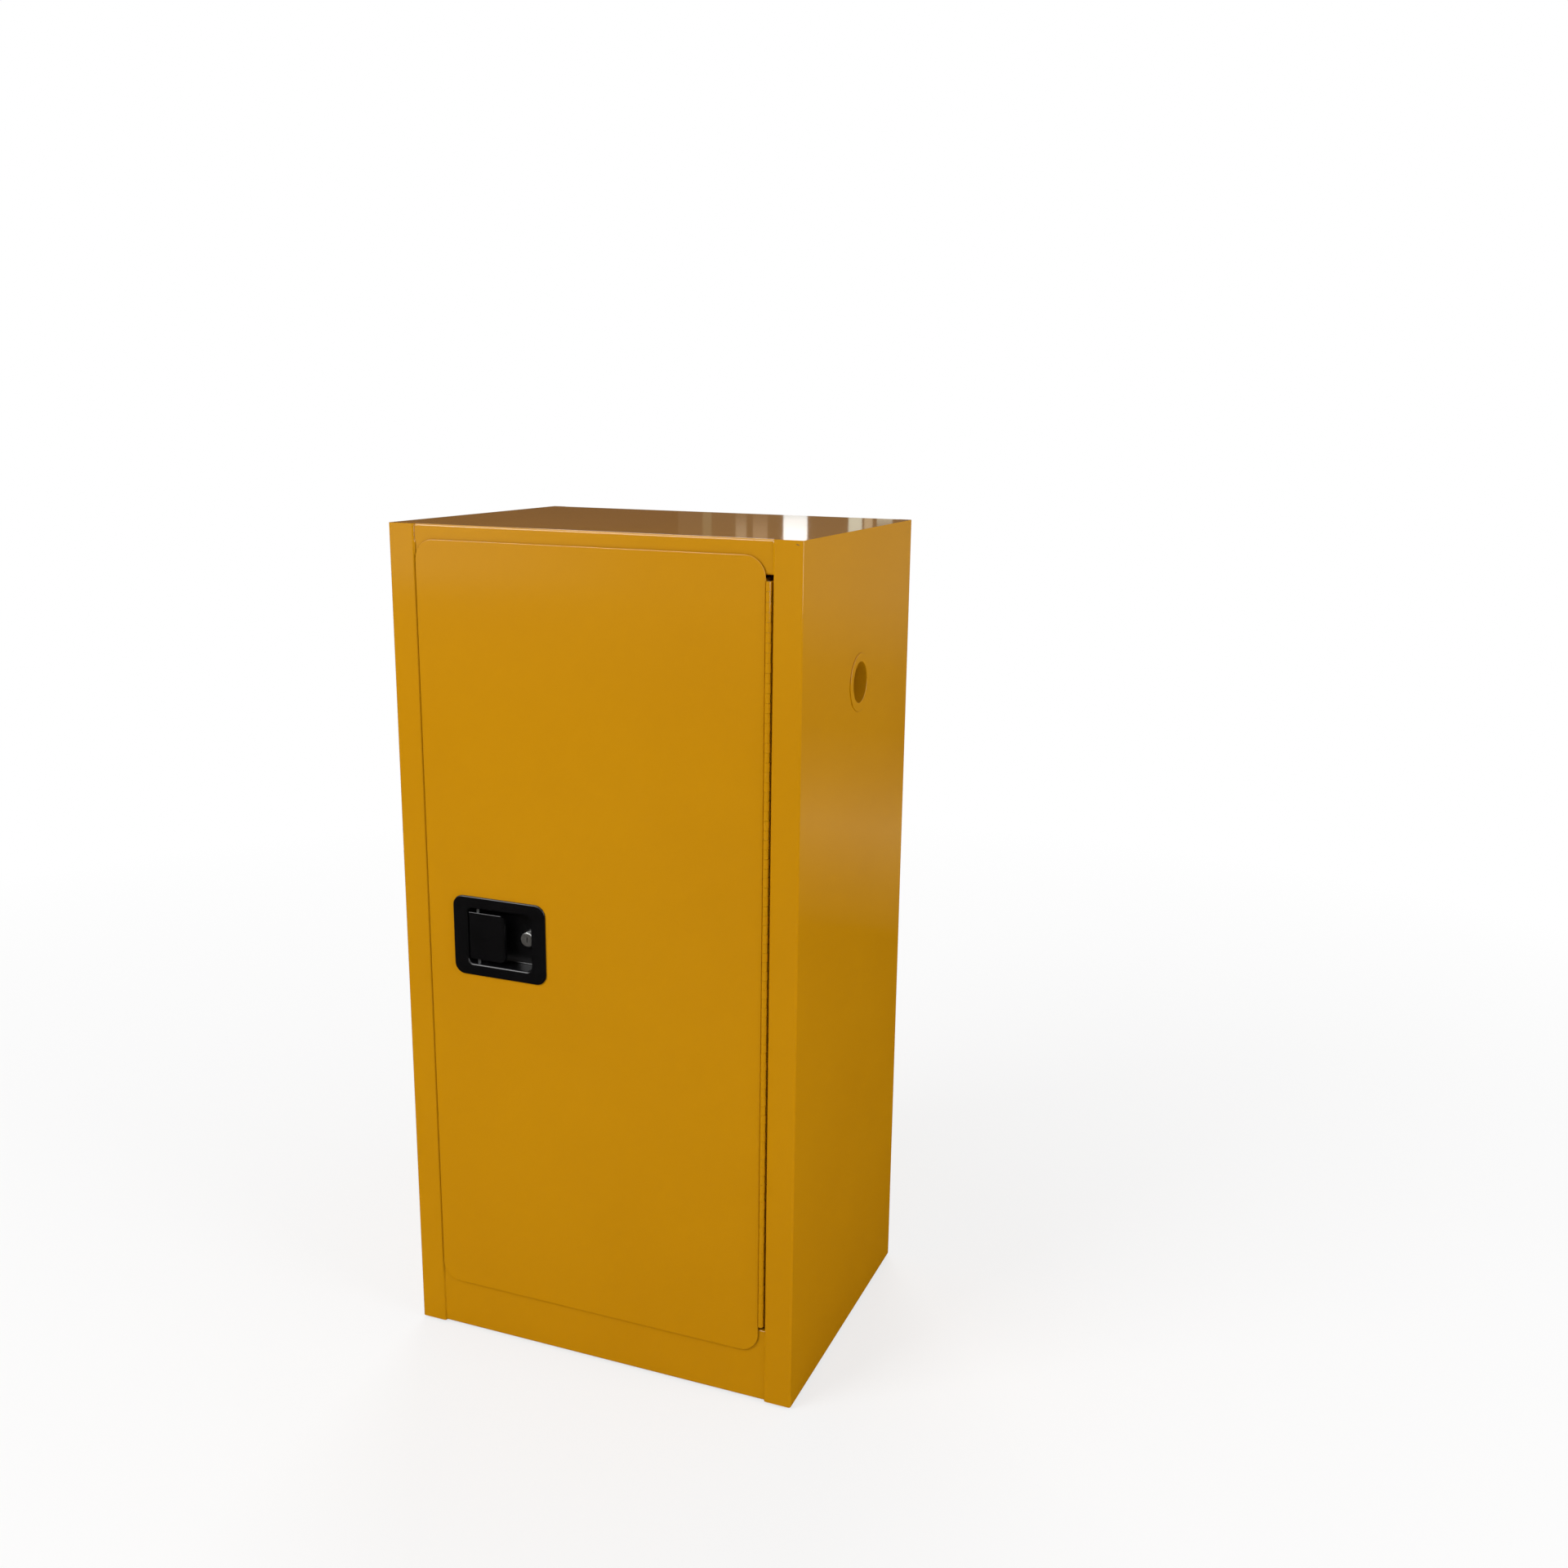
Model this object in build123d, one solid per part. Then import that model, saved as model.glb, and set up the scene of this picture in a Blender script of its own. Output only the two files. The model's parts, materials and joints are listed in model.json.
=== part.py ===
from build123d import *
import os
from math import atan2, cos, degrees, floor, radians, tan

# Single-door fire-resistant solvent cabinet: a double-walled folded steel case on
# levelling feet, with a right-hung door on a full-height piano hinge, a flush paddle
# latch that draws a side bolt and two rods, a key lock, two vents, two tray shelves
# and a spill sump.
#
# Millimetres. X runs to the right as the user faces the door, Y to the back, Z up.
# The origin is the middle of the footprint, on the floor.

# Case
WIDTH = 600.0             # over the two side panels
DEPTH = 450.0             # stile face to back panel
HEIGHT = 1200.0           # floor to top panel
SHEET = 1.2               # steel of the case and the door pan
LINER = 1.0               # steel of the liner
BEND = 1.8                # inside radius of a fold
WALL = 40.0               # outer face to liner face, and the width of a stile
SKIRT_GAP = 4.0           # lower edge of the case above the floor
SEAM = 0.3                # open seam between neighbouring sheets
RETURN = 41.0             # depth of the folded returns round the door opening
RAIL_STEP = 2.2           # header and sill faces behind the stile faces
HEADER = 44.0             # top of the case down to the door opening
SILL = 113.0              # floor up to the door opening
SILL_HEM = 14.0           # lower return of the sill
REAR_FLANGE = 20.0        # rear fold of the side panels and the top
JAMB = 18.0               # width of the rebate beside the latch
BASE = 20.0               # underside of the bottom panel above the floor
TAB = 12.0                # flat strips that close the corners of the top panel

# Spill sump and the channels under it
SUMP_DEPTH = 51.0         # sill down to the sump floor
SUMP_CORNER = 8.0
SUMP_TUCK = 6.0           # front of the sump under the sill return
SUPPORT_X = 130.0         # channels either side of the middle
SUPPORT_CROWN = 36.0
SUPPORT_FLANGE = 16.0
SUPPORT_INSET = 25.0

# Spacers in the air gap
SPACER_FLANGE = 15.0
SPACER_FRONT = 105.0      # from the stile face
SPACER_REAR = 150.0       # from the back face
SPACER_X = 150.0          # on the back, either side of the middle
SPACER_END = 60.0         # short of the liner at both ends

# Shelves, their slotted standards and clips
STANDARD_WIDTH = 22.0
STANDARD_DEPTH = 8.0
STANDARD_FRONT = 110.0    # from the stile face
STANDARD_REAR = 70.0      # from the back liner
STANDARD_START = 30.0     # above the sill
SLOT_PITCH = 60.0
SLOT_WIDTH = 14.0
SLOT_HEIGHT = 4.0
CLIP_WIDTH = 12.0
CLIP_SHEET = 1.6
CLIP_TONGUE = 14.0
CLIP_DROP = 16.0
SHELF_SHEET = 1.2
SHELF_LIP = 24.0
SHELF_CORNER = 6.0
SHELF_SIDE_GAP = 3.0      # to the clips
SHELF_FRONT = 60.0        # from the stile face
SHELF_REAR_GAP = 14.0     # to the back liner
LOWER_SLOT = 4
UPPER_SLOT = 10

# Vents
VENT_BORE = 57.0
VENT_WALL = 2.0
VENT_FLANGE = 81.0
VENT_PROUD = 1.5
VENT_UNDERCUT = 0.5       # behind the rim of the flange
VENT_FIT = 0.15           # sleeve in the holes of case and liner
VENT_NUT = 78.0
VENT_NUT_LENGTH = 5.0
VENT_DROP = 208.0         # right side, below the top
VENT_LOW = 200.0          # left side, above the floor
SCREEN_THICK = 1.0
SCREEN_HOLE = 4.5
SCREEN_PITCH = 6.5
SCREEN_RIM = 1.0

# Levelling feet
FOOT_PAD = 38.0
FOOT_PAD_HEIGHT = 8.0
FOOT_CHAMFER = 3.2
FOOT_STUD = 10.0
FOOT_STUD_TOP = 50.0      # above the floor
FOOT_FIT = 0.08           # stud in its nut, radial
FOOT_NUT = 17.0           # across flats
FOOT_NUT_HEIGHT = 8.0
FOOT_INSET_X = 40.0       # from the side faces
FOOT_INSET_FRONT = 75.0   # from the stile face
FOOT_INSET_REAR = 60.0    # from the back face

# Earth stud, low on the left side
EARTH_STUD = 6.0
EARTH_SHANK = 6.6         # in the nut and the side panel
EARTH_OUT = 10.0
EARTH_IN = 10.0
EARTH_NUT = 10.0          # across flats
EARTH_NUT_HEIGHT = 4.0
EARTH_INSET = 40.0        # from the back face
EARTH_Z = 90.0

# Door
SKIN = 1.5                # outer skin
DOOR_PROUD = 1.0          # skin face in front of the stile face
DOOR_THICK = 41.0         # skin face to the back of the pan
SKIN_GAP = 1.3            # skin to the latch-side stile
SKIN_OVER_HEADER = 24.0   # skin above the door opening
SKIN_OVER_SILL = 35.0     # skin below the door opening
SKIN_CORNER = 28.0
SKIN_ROUND = 0.9          # front edge of the skin
PAN_GAP = 4.5             # pan to the latch jamb
PAN_CLEAR = 4.0           # pan to the header and the sill
PAN_CORNER = 5.0
STIFFENER_X = 70.0
STIFFENER_WIDTH = 60.0
STIFFENER_FLANGE = 18.0
STIFFENER_END = 35.0      # short of the pan at both ends

# Piano hinge
KNUCKLE = 12.7            # length of one knuckle
KNUCKLE_R = 3.5
KNUCKLE_GAP = 0.3
HINGE_PIN_R = 1.5
HINGE_FIT = 0.06
HINGE_LEAF = 1.2
HINGE_LEAF_WIDTH = 26.0   # from the axis
LEAF_RELIEF = 4.5         # leaf edge to the axis beside the other knuckles
STILE_GAP = 2.0           # knuckle to the hinge-side return
SKIN_EDGE_GAP = 0.4       # skin to the knuckle
STRIP_START = 8.0         # hinge strip from the axis
STRIP_END = 36.0
RIVET_R = 1.6
RIVET_HEAD_R = 3.2
RIVET_HEAD = 1.0
RIVET_Y = 17.0            # from the axis
RIVET_PITCH = 127.0
DOOR_RIVET_START = 50.8   # first rivet above the foot of the hinge
FRAME_RIVET_START = 101.6

# Paddle latch
LATCH_INSET = 114.3       # latch edge of the skin to the middle of the latch
BEZEL_WIDTH = 147.0
BEZEL_HEIGHT = 116.0
BEZEL_CORNER = 16.0
BEZEL_PROUD = 2.5
BEZEL_ROUND = 1.8         # rim of the flange
MOUTH_ROUND = 3.0         # flange into the well
FLOOR_ROUND = 1.8         # foot of the well
BEZEL_SHEET = 1.8
WELL_WIDTH = 102.0
WELL_HEIGHT = 82.0
WELL_CORNER = 8.0
WELL_DEPTH = 24.5
WELL_DRAFT = 5.0          # degrees
CUTOUT_GAP = 0.5          # well to the hole in the skin
FIXING_R = 2.0
FIXING_LENGTH = 9.0
FIXING_NUT = 7.0          # across flats
FIXING_NUT_HEIGHT = 3.2
FIXING_INSET = 9.5        # from the bezel edge

# Paddle and its pin
PADDLE_REACH = 43.0       # pin to the free edge
PADDLE_HEEL = 12.5        # pin to the edge beside the wall of the well
PADDLE_HEIGHT = 69.0
PADDLE_CORNER = 7.0       # free corners
PADDLE_SHEET = 2.5
PADDLE_DEPTH = 2.0        # bezel face down to the paddle face
PADDLE_LIP = 9.0
PADDLE_ROUND = 1.0        # front edges of the paddle
PADDLE_PIN_R = 2.2
PADDLE_FIT = 0.06
PADDLE_BARREL_R = 4.5
PADDLE_WALL_GAP = 2.0     # heel to the side of the well
PADDLE_SWING = 26.0       # degrees
TANG_SHEET = 3.0
TANG_WIDTH = 16.0
SPRING_LENGTH = 12.0
SPRING_WIRE = 1.0
SPRING_PLAY = 0.3
SPRING_OFFSET = 20.0      # above the middle of the paddle

# Side bolt, rods and their guides
BOLT_TRAVEL = 13.2
BOLT_SHEET = 2.5
BOLT_LIFT = 3.2           # bezel floor to the bolt
BOLT_HEIGHT = 88.0
BOLT_NOSE = 22.0
BOLT_ENGAGE = 10.0        # nose past the jamb face
BOLT_FIT = 0.3
TANG_PLAY = 0.3           # tang to the window, at rest
TANG_LAG = 5.0            # window behind the tang
ROD_OFFSET = 6.5          # rods left of the middle of the latch
ROD_WIDTH = 12.0
ROD_THICK = 4.0
ROD_GAP = 1.5             # bolt to the rods
ROD_ENGAGE = 12.0         # rod past the edge of the opening
FOLLOWER_R = 2.5
FOLLOWER_Z = 36.0         # from the middle of the latch
FOLLOWER_TAIL = 8.0
GUIDE_STUD_X = 29.0       # left of the middle of the latch
GUIDE_STUD_Z = 26.0
GUIDE_STUD_R = 2.5
GUIDE_HEAD_R = 4.5
GUIDE_HEAD = 1.0
GUIDE_PLAY = 0.2
ROD_GUIDE_WALL = 5.0
ROD_GUIDE_HEIGHT = 14.0
ROD_GUIDE_NEAR = 130.0    # from the middle of the latch
ROD_GUIDE_FAR = 40.0      # from the ends of the pan
KEEPER_GAP = 2.0          # keeper notches round the bolt and rods

# Key lock
LOCK_X = 35.5             # right of the middle of the latch
LOCK_FACE = 16.0          # bezel face down to the lock face
LOCK_HEAD_R = 10.5
LOCK_BODY_R = 9.0
LOCK_BODY_END = 12.0      # past the bezel floor
LOCK_PLUG_R = 6.0
LOCK_FIT = 0.06
LOCK_SHOULDER = 2.5       # plug face ring
LOCK_HOLE_FIT = 0.2
LOCK_NUT = 22.0           # across flats
LOCK_NUT_HEIGHT = 4.0
LOCK_CAM_REACH = 24.0
LOCK_CAM_WIDTH = 11.0
LOCK_CAM_SHEET = 2.0
LOCK_CAM_GAP = 0.3
KEYWAY_WIDTH = 1.6
KEYWAY_HEIGHT = 7.0
KEYWAY_DEPTH = 9.0

# Planes that several pieces share
SIDE = WIDTH / 2
FRONT = (KNUCKLE_R - DEPTH) / 2          # stile face; centres the whole box on Y = 0
BACK = FRONT + DEPTH
OPEN_X = SIDE - WALL                     # sides of the door opening and of the liner
FOLD = SHEET + BEND                      # outside radius of a fold
RAIL_FACE = FRONT + RAIL_STEP
LINER_FRONT = FRONT + RETURN
LINER_BACK = BACK - WALL
HEAD_Z = HEIGHT - HEADER
SUMP_FLOOR = SILL - SUMP_DEPTH
LINER_FOOT = SUMP_FLOOR - SHEET
SKIN_FACE = FRONT - DOOR_PROUD
SKIN_BACK = SKIN_FACE + SKIN
PAN_BACK = SKIN_FACE + DOOR_THICK
HINGE_X = OPEN_X - STILE_GAP - KNUCKLE_R
SKIN_LEFT = SKIN_GAP - OPEN_X
SKIN_RIGHT = HINGE_X - KNUCKLE_R - SKIN_EDGE_GAP
SKIN_LOW = SILL - SKIN_OVER_SILL
SKIN_HIGH = HEAD_Z + SKIN_OVER_HEADER
JAMB_X = JAMB - OPEN_X
PAN_LEFT = JAMB_X + PAN_GAP
PAN_RIGHT = HINGE_X - KNUCKLE_R
PAN_LOW = SILL + PAN_CLEAR
PAN_HIGH = HEAD_Z - PAN_CLEAR
KNUCKLES = 2 * floor((PAN_HIGH - PAN_LOW) / KNUCKLE / 2 - 0.5) + 1
HINGE_LOW = (PAN_LOW + PAN_HIGH - KNUCKLES * KNUCKLE) / 2
HINGE_HIGH = HINGE_LOW + KNUCKLES * KNUCKLE
LATCH_X = SKIN_LEFT + LATCH_INSET
LATCH_Z = (SKIN_LOW + SKIN_HIGH) / 2
BEZEL_FACE = SKIN_FACE - BEZEL_PROUD
WELL_FLOOR = BEZEL_FACE + WELL_DEPTH
BEZEL_BACK = WELL_FLOOR + BEZEL_SHEET
PADDLE_FACE = BEZEL_FACE + PADDLE_DEPTH
PIN_X = LATCH_X - WELL_WIDTH / 2 + PADDLE_HEEL + PADDLE_WALL_GAP
PIN_Y = PADDLE_FACE + PADDLE_BARREL_R
BOLT_FACE = BEZEL_BACK + BOLT_LIFT
BOLT_BACK = BOLT_FACE + BOLT_SHEET
ROD_X = LATCH_X - ROD_OFFSET
ROD_FACE = BOLT_BACK + ROD_GAP
ROD_BACK = ROD_FACE + ROD_THICK
STANDARD_LOW = SILL + STANDARD_START
STANDARD_FACE = OPEN_X - STANDARD_DEPTH
STANDARD_PLACES = (FRONT + STANDARD_FRONT, LINER_BACK - STANDARD_REAR)
SLOTS = floor((HEAD_Z - STANDARD_START - STANDARD_LOW) / SLOT_PITCH)
SHELF_X = STANDARD_FACE - CLIP_SHEET - SHELF_SIDE_GAP
VENT_Y = (FRONT + BACK) / 2
VENT_HIGH = HEIGHT - VENT_DROP
VENT_R = VENT_BORE / 2
SLEEVE_R = VENT_R + VENT_WALL
VENT_HOLE_R = SLEEVE_R + VENT_FIT
EARTH_Y = BACK - EARTH_INSET


def block(x, y, z):
    """A box between pairs of limits."""
    spans = (x, y, z)
    middle = [(a + b) / 2 for a, b in spans]
    size = [b - a for a, b in spans]
    return Pos(*middle) * Box(*size)


def bar(start, end, radius):
    """A round bar between two points."""
    along = Vector(*end) - Vector(*start)
    plane = Plane(origin=start, z_dir=along)
    return extrude(plane * Circle(radius), along.length)


def folded(points, plane, length, sheet=SHEET):
    """Sheet folded along a centre line, extruded along the plane's normal."""
    path = FilletPolyline(*points, radius=BEND + sheet / 2)
    return extrude(plane * trace(path, line_width=sheet), length)


def facing_front(x, y, z):
    """A plane that looks forward, with its own x along X and its own y along Z."""
    return Plane(origin=(x, y, z), x_dir=(1, 0, 0), z_dir=(0, -1, 0))


def slot_between(start, end, width, y_from, y_to):
    """A round-ended plate from one X, Z point to another, also used as a cutter."""
    a = Vector(start[0], start[1])
    b = Vector(end[0], end[1])
    plane = facing_front(0, y_to, 0)
    outline = SlotCenterToCenter((b - a).length, width)
    angle = degrees(atan2(end[1] - start[1], end[0] - start[0]))
    middle = (a + b) / 2
    placed = Pos(middle.X, middle.Y) * Rot(0, 0, angle) * outline
    return extrude(plane * placed, y_to - y_from)


def hexagon(across_flats):
    return RegularPolygon(across_flats / 2, 6, major_radius=False)


def mirrored(shape):
    return mirror(shape, about=Plane.YZ)


# Case panels

def side_panel(vent_z):
    """Right side: rear flange, web, stile and return folded from one sheet."""
    half = SHEET / 2
    outline = [
        (SIDE - REAR_FLANGE, BACK - half),
        (SIDE - half, BACK - half),
        (SIDE - half, FRONT + half),
        (OPEN_X + half, FRONT + half),
        (OPEN_X + half, LINER_FRONT),
    ]
    panel = folded(outline, Plane.XY.offset(SKIRT_GAP), HEIGHT - SKIRT_GAP)
    panel -= block((0, SIDE - SHEET), (FRONT + SHEET, BACK - SHEET), (HEIGHT - SHEET, HEIGHT))
    return panel - bar((SIDE - FOLD, VENT_Y, vent_z), (SIDE + FOLD, VENT_Y, vent_z), VENT_HOLE_R)


def right_side_panel():
    return side_panel(VENT_HIGH)


def left_side_panel():
    hole = bar((SIDE - FOLD, EARTH_Y, EARTH_Z), (SIDE + FOLD, EARTH_Y, EARTH_Z), EARTH_SHANK / 2)
    return mirrored(side_panel(VENT_LOW) - hole)


def back_panel():
    x = SIDE - FOLD
    return block((-x, x), (BACK - 2 * SHEET, BACK - SHEET), (SKIRT_GAP, HEIGHT - FOLD))


def rod_keeper(z_from, z_to):
    """Open-fronted keeper notch for a rod, cut in the header or the sill."""
    half = ROD_WIDTH / 2 + KEEPER_GAP
    return block((ROD_X - half, ROD_X + half), (FRONT, ROD_BACK + KEEPER_GAP), (z_from, z_to))


def top_panel():
    half = SHEET / 2
    inside = SIDE - SHEET
    header_x = OPEN_X - SEAM
    rear_x = SIDE - REAR_FLANGE - SEAM
    top = (HEIGHT - SHEET, HEIGHT)
    tab_front = RAIL_FACE + TAB
    tab_back = BACK - TAB
    panel = block((-inside, inside), (tab_front, tab_back), top)
    front = [
        (tab_front, HEIGHT - half),
        (RAIL_FACE + half, HEIGHT - half),
        (RAIL_FACE + half, HEAD_Z + half),
        (LINER_FRONT, HEAD_Z + half),
    ]
    rear = [
        (tab_back, HEIGHT - half),
        (BACK - half, HEIGHT - half),
        (BACK - half, HEIGHT - REAR_FLANGE),
    ]
    panel += folded(front, Plane.YZ.offset(-header_x), 2 * header_x)
    panel += folded(rear, Plane.YZ.offset(-rear_x), 2 * rear_x)
    for side in (-1, 1):
        tab = sorted((side * header_x, side * inside))
        panel += block(tab, (FRONT + SHEET, tab_front), top)
        tab = sorted((side * rear_x, side * inside))
        panel += block(tab, (tab_back, BACK - SHEET), top)
    return panel - rod_keeper(HEAD_Z, HEAD_Z + ROD_ENGAGE + KEEPER_GAP)


def front_sill():
    half = SHEET / 2
    x = OPEN_X - SEAM
    outline = [
        (LINER_FRONT, SILL - half),
        (RAIL_FACE + half, SILL - half),
        (RAIL_FACE + half, SKIRT_GAP + half),
        (RAIL_FACE + SILL_HEM, SKIRT_GAP + half),
    ]
    sill = folded(outline, Plane.YZ.offset(-x), 2 * x)
    return sill - rod_keeper(SILL - ROD_ENGAGE - KEEPER_GAP, SILL)


def latch_jamb():
    half = SHEET / 2
    outline = [
        (half - OPEN_X, LINER_FRONT),
        (half - OPEN_X, RAIL_FACE + half),
        (JAMB_X - half, RAIL_FACE + half),
        (JAMB_X - half, LINER_FRONT),
    ]
    jamb = folded(outline, Plane.XY.offset(SILL), HEAD_Z - SILL)
    reach = BOLT_NOSE / 2 + KEEPER_GAP
    notch_x = (JAMB_X - BOLT_ENGAGE - KEEPER_GAP, JAMB_X)
    notch = block(notch_x, (FRONT, BOLT_BACK + KEEPER_GAP), (LATCH_Z - reach, LATCH_Z + reach))
    return jamb - notch


def bottom_panel():
    x = SIDE - SHEET
    level = (BASE, BASE + SHEET)
    panel = block((-x, x), (LINER_FRONT + SEAM, BACK - FOLD), level)
    x = OPEN_X - SEAM
    panel += block((-x, x), (RAIL_FACE + SHEET, LINER_FRONT + SEAM), level)
    for foot_x, foot_y in foot_places():
        panel -= bar((foot_x, foot_y, 0), (foot_x, foot_y, HEIGHT), FOOT_STUD / 2 + FOOT_FIT)
    return panel


# Liner, sump and what stands between the walls

def liner_side():
    return block((OPEN_X, OPEN_X + LINER), (LINER_FRONT, LINER_BACK), (LINER_FOOT, HEAD_Z))


def vent_hole(z):
    return bar((OPEN_X, VENT_Y, z), (OPEN_X + LINER, VENT_Y, z), VENT_HOLE_R)


def liner_right():
    return liner_side() - vent_hole(VENT_HIGH)


def liner_left():
    return mirrored(liner_side() - vent_hole(VENT_LOW))


def liner_back():
    x = OPEN_X + LINER
    return block((-x, x), (LINER_BACK, LINER_BACK + LINER), (LINER_FOOT, HEAD_Z))


def liner_top():
    x = OPEN_X + LINER
    return block((-x, x), (LINER_FRONT, LINER_BACK + LINER), (HEAD_Z, HEAD_Z + LINER))


def tray(x_half, y_from, y_to, z_from, z_to, sheet, corner):
    """An open tray of even sheet with rounded corners."""
    middle = (y_from + y_to) / 2
    length = y_to - y_from
    outer = RectangleRounded(2 * x_half, length, corner)
    inner = RectangleRounded(2 * (x_half - sheet), length - 2 * sheet, corner - sheet)
    body = extrude(Plane((0, middle, z_from)) * outer, z_to - z_from)
    return body - extrude(Plane((0, middle, z_from + sheet)) * inner, z_to - z_from)


def sump_pan():
    rim = SILL - SHEET
    return tray(OPEN_X, LINER_FRONT - SUMP_TUCK, LINER_BACK, LINER_FOOT, rim, SHEET, SUMP_CORNER)


def sump_supports():
    """Hat channels that carry the sump on the bottom panel."""
    half = SHEET / 2
    low = BASE + SHEET + half
    high = LINER_FOOT - half
    start = LINER_FRONT + SUPPORT_INSET
    end = LINER_BACK - SUPPORT_INSET
    solids = []
    for x in (-SUPPORT_X, SUPPORT_X):
        left = x - SUPPORT_CROWN / 2
        right = x + SUPPORT_CROWN / 2
        outline = [
            (left - SUPPORT_FLANGE, low),
            (left, low),
            (left, high),
            (right, high),
            (right, low),
            (right + SUPPORT_FLANGE, low),
        ]
        solids.append(folded(outline, facing_front(0, end, 0), end - start))
    return solids


def wall_spacers():
    """Z strips that hold the liner off the sides and the back."""
    half = SHEET / 2
    base = Plane.XY.offset(LINER_FOOT + SPACER_END)
    length = HEAD_Z - LINER_FOOT - 2 * SPACER_END
    outer = SIDE - SHEET - half
    inner = OPEN_X + LINER + half
    solids = []
    for y in (FRONT + SPACER_FRONT, BACK - SPACER_REAR):
        outline = [
            (outer, y),
            (outer, y + SPACER_FLANGE),
            (inner, y + SPACER_FLANGE),
            (inner, y + 2 * SPACER_FLANGE),
        ]
        strip = folded(outline, base, length)
        solids += [strip, mirrored(strip)]
    outer = BACK - 2 * SHEET - half
    inner = LINER_BACK + LINER + half
    outline = [
        (SPACER_X, outer),
        (SPACER_X + SPACER_FLANGE, outer),
        (SPACER_X + SPACER_FLANGE, inner),
        (SPACER_X + 2 * SPACER_FLANGE, inner),
    ]
    strip = folded(outline, base, length)
    return solids + [strip, mirrored(strip)]


# Shelves

def slot_z(index):
    return STANDARD_LOW + (index + 0.5) * SLOT_PITCH


def shelf_standards():
    """Slotted channels on the liner sides."""
    half = SHEET / 2
    face = STANDARD_FACE + half
    solids = []
    for y in STANDARD_PLACES:
        near = y - STANDARD_WIDTH / 2 + half
        far = y + STANDARD_WIDTH / 2 - half
        outline = [(OPEN_X, near), (face, near), (face, far), (OPEN_X, far)]
        channel = folded(outline, Plane.XY.offset(STANDARD_LOW), SLOTS * SLOT_PITCH)
        slots = []
        for index in range(SLOTS):
            z = slot_z(index)
            slot_y = (y - SLOT_WIDTH / 2, y + SLOT_WIDTH / 2)
            height = (z - SLOT_HEIGHT / 2, z + SLOT_HEIGHT / 2)
            slots.append(block((STANDARD_FACE, STANDARD_FACE + SHEET), slot_y, height))
        channel -= slots
        solids += [channel, mirrored(channel)]
    return solids


def shelf_clips(index):
    """Four bent clips hooked into the standards at one slot."""
    z = slot_z(index)
    top = z + CLIP_SHEET / 2
    solids = []
    for y in STANDARD_PLACES:
        width = (y - CLIP_WIDTH / 2, y + CLIP_WIDTH / 2)
        plate_x = (STANDARD_FACE - CLIP_SHEET, STANDARD_FACE)
        clip = block(plate_x, width, (top - CLIP_DROP, top))
        clip += block((plate_x[0] - CLIP_TONGUE, STANDARD_FACE), width, (top - CLIP_SHEET, top))
        hook_x = (STANDARD_FACE, STANDARD_FACE + SHEET + CLIP_SHEET)
        clip += block(hook_x, width, (top - CLIP_SHEET, top))
        solids += [clip, mirrored(clip)]
    return solids


def shelf(index):
    """A galvanised tray that rests on its four clips."""
    low = slot_z(index) + CLIP_SHEET / 2
    front = FRONT + SHELF_FRONT
    back = LINER_BACK - SHELF_REAR_GAP
    return tray(SHELF_X, front, back, low, low + SHELF_LIP, SHELF_SHEET, SHELF_CORNER)


# Vents, earth stud and feet

def vent_sleeve(z):
    """Right-hand sleeve with its outer flange."""
    y = VENT_Y
    outer_end = SIDE + VENT_PROUD
    inner_end = OPEN_X - VENT_NUT_LENGTH
    sleeve = bar((inner_end, y, z), (outer_end, y, z), SLEEVE_R)
    sleeve += bar((SIDE, y, z), (outer_end, y, z), VENT_FLANGE / 2)
    sleeve -= bar((inner_end, y, z), (outer_end, y, z), VENT_R)
    rim = sleeve.edges().filter_by(GeomType.CIRCLE).sort_by(Axis.X)[-2:]
    sleeve = fillet(rim, VENT_PROUD / 2)
    undercut_r = VENT_FLANGE / 2 - VENT_UNDERCUT
    gap = bar((SIDE, y, z), (SIDE + VENT_UNDERCUT, y, z), VENT_FLANGE / 2)
    return sleeve - (gap - bar((SIDE, y, z), (SIDE + VENT_UNDERCUT, y, z), undercut_r))


def vent_nut(z):
    inner_end = OPEN_X - VENT_NUT_LENGTH
    ring = bar((inner_end, VENT_Y, z), (OPEN_X, VENT_Y, z), VENT_NUT / 2)
    return ring - bar((inner_end, VENT_Y, z), (OPEN_X, VENT_Y, z), VENT_HOLE_R)


def flame_screen(z):
    """Square-holed arrester screen on the inner end of the sleeve."""
    inner_end = OPEN_X - VENT_NUT_LENGTH
    plane = Plane(origin=(inner_end, VENT_Y, z), x_dir=(0, 1, 0), z_dir=(-1, 0, 0))
    steps = floor(VENT_R / SCREEN_PITCH)
    hole = Rectangle(SCREEN_HOLE, SCREEN_HOLE)
    reach = VENT_R - SCREEN_RIM
    places = [
        (i * SCREEN_PITCH, j * SCREEN_PITCH)
        for i in range(-steps, steps + 1)
        for j in range(-steps, steps + 1)
        if Vector(i, j).length * SCREEN_PITCH + SCREEN_HOLE < reach
    ]
    disc = Circle(SLEEVE_R) - [Pos(*place) * hole for place in places]
    return extrude(plane * disc, SCREEN_THICK)


def earth_stud():
    shoulder = (-SIDE - EARTH_NUT_HEIGHT, EARTH_Y, EARTH_Z)
    shank = bar(shoulder, (-SIDE + EARTH_IN, EARTH_Y, EARTH_Z), EARTH_SHANK / 2)
    return shank + bar(shoulder, (-SIDE - EARTH_OUT, EARTH_Y, EARTH_Z), EARTH_STUD / 2)


def earth_nut():
    plane = Plane(origin=(-SIDE, EARTH_Y, EARTH_Z), z_dir=(-1, 0, 0))
    return extrude(plane * (hexagon(EARTH_NUT) - Circle(EARTH_SHANK / 2)), EARTH_NUT_HEIGHT)


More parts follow.
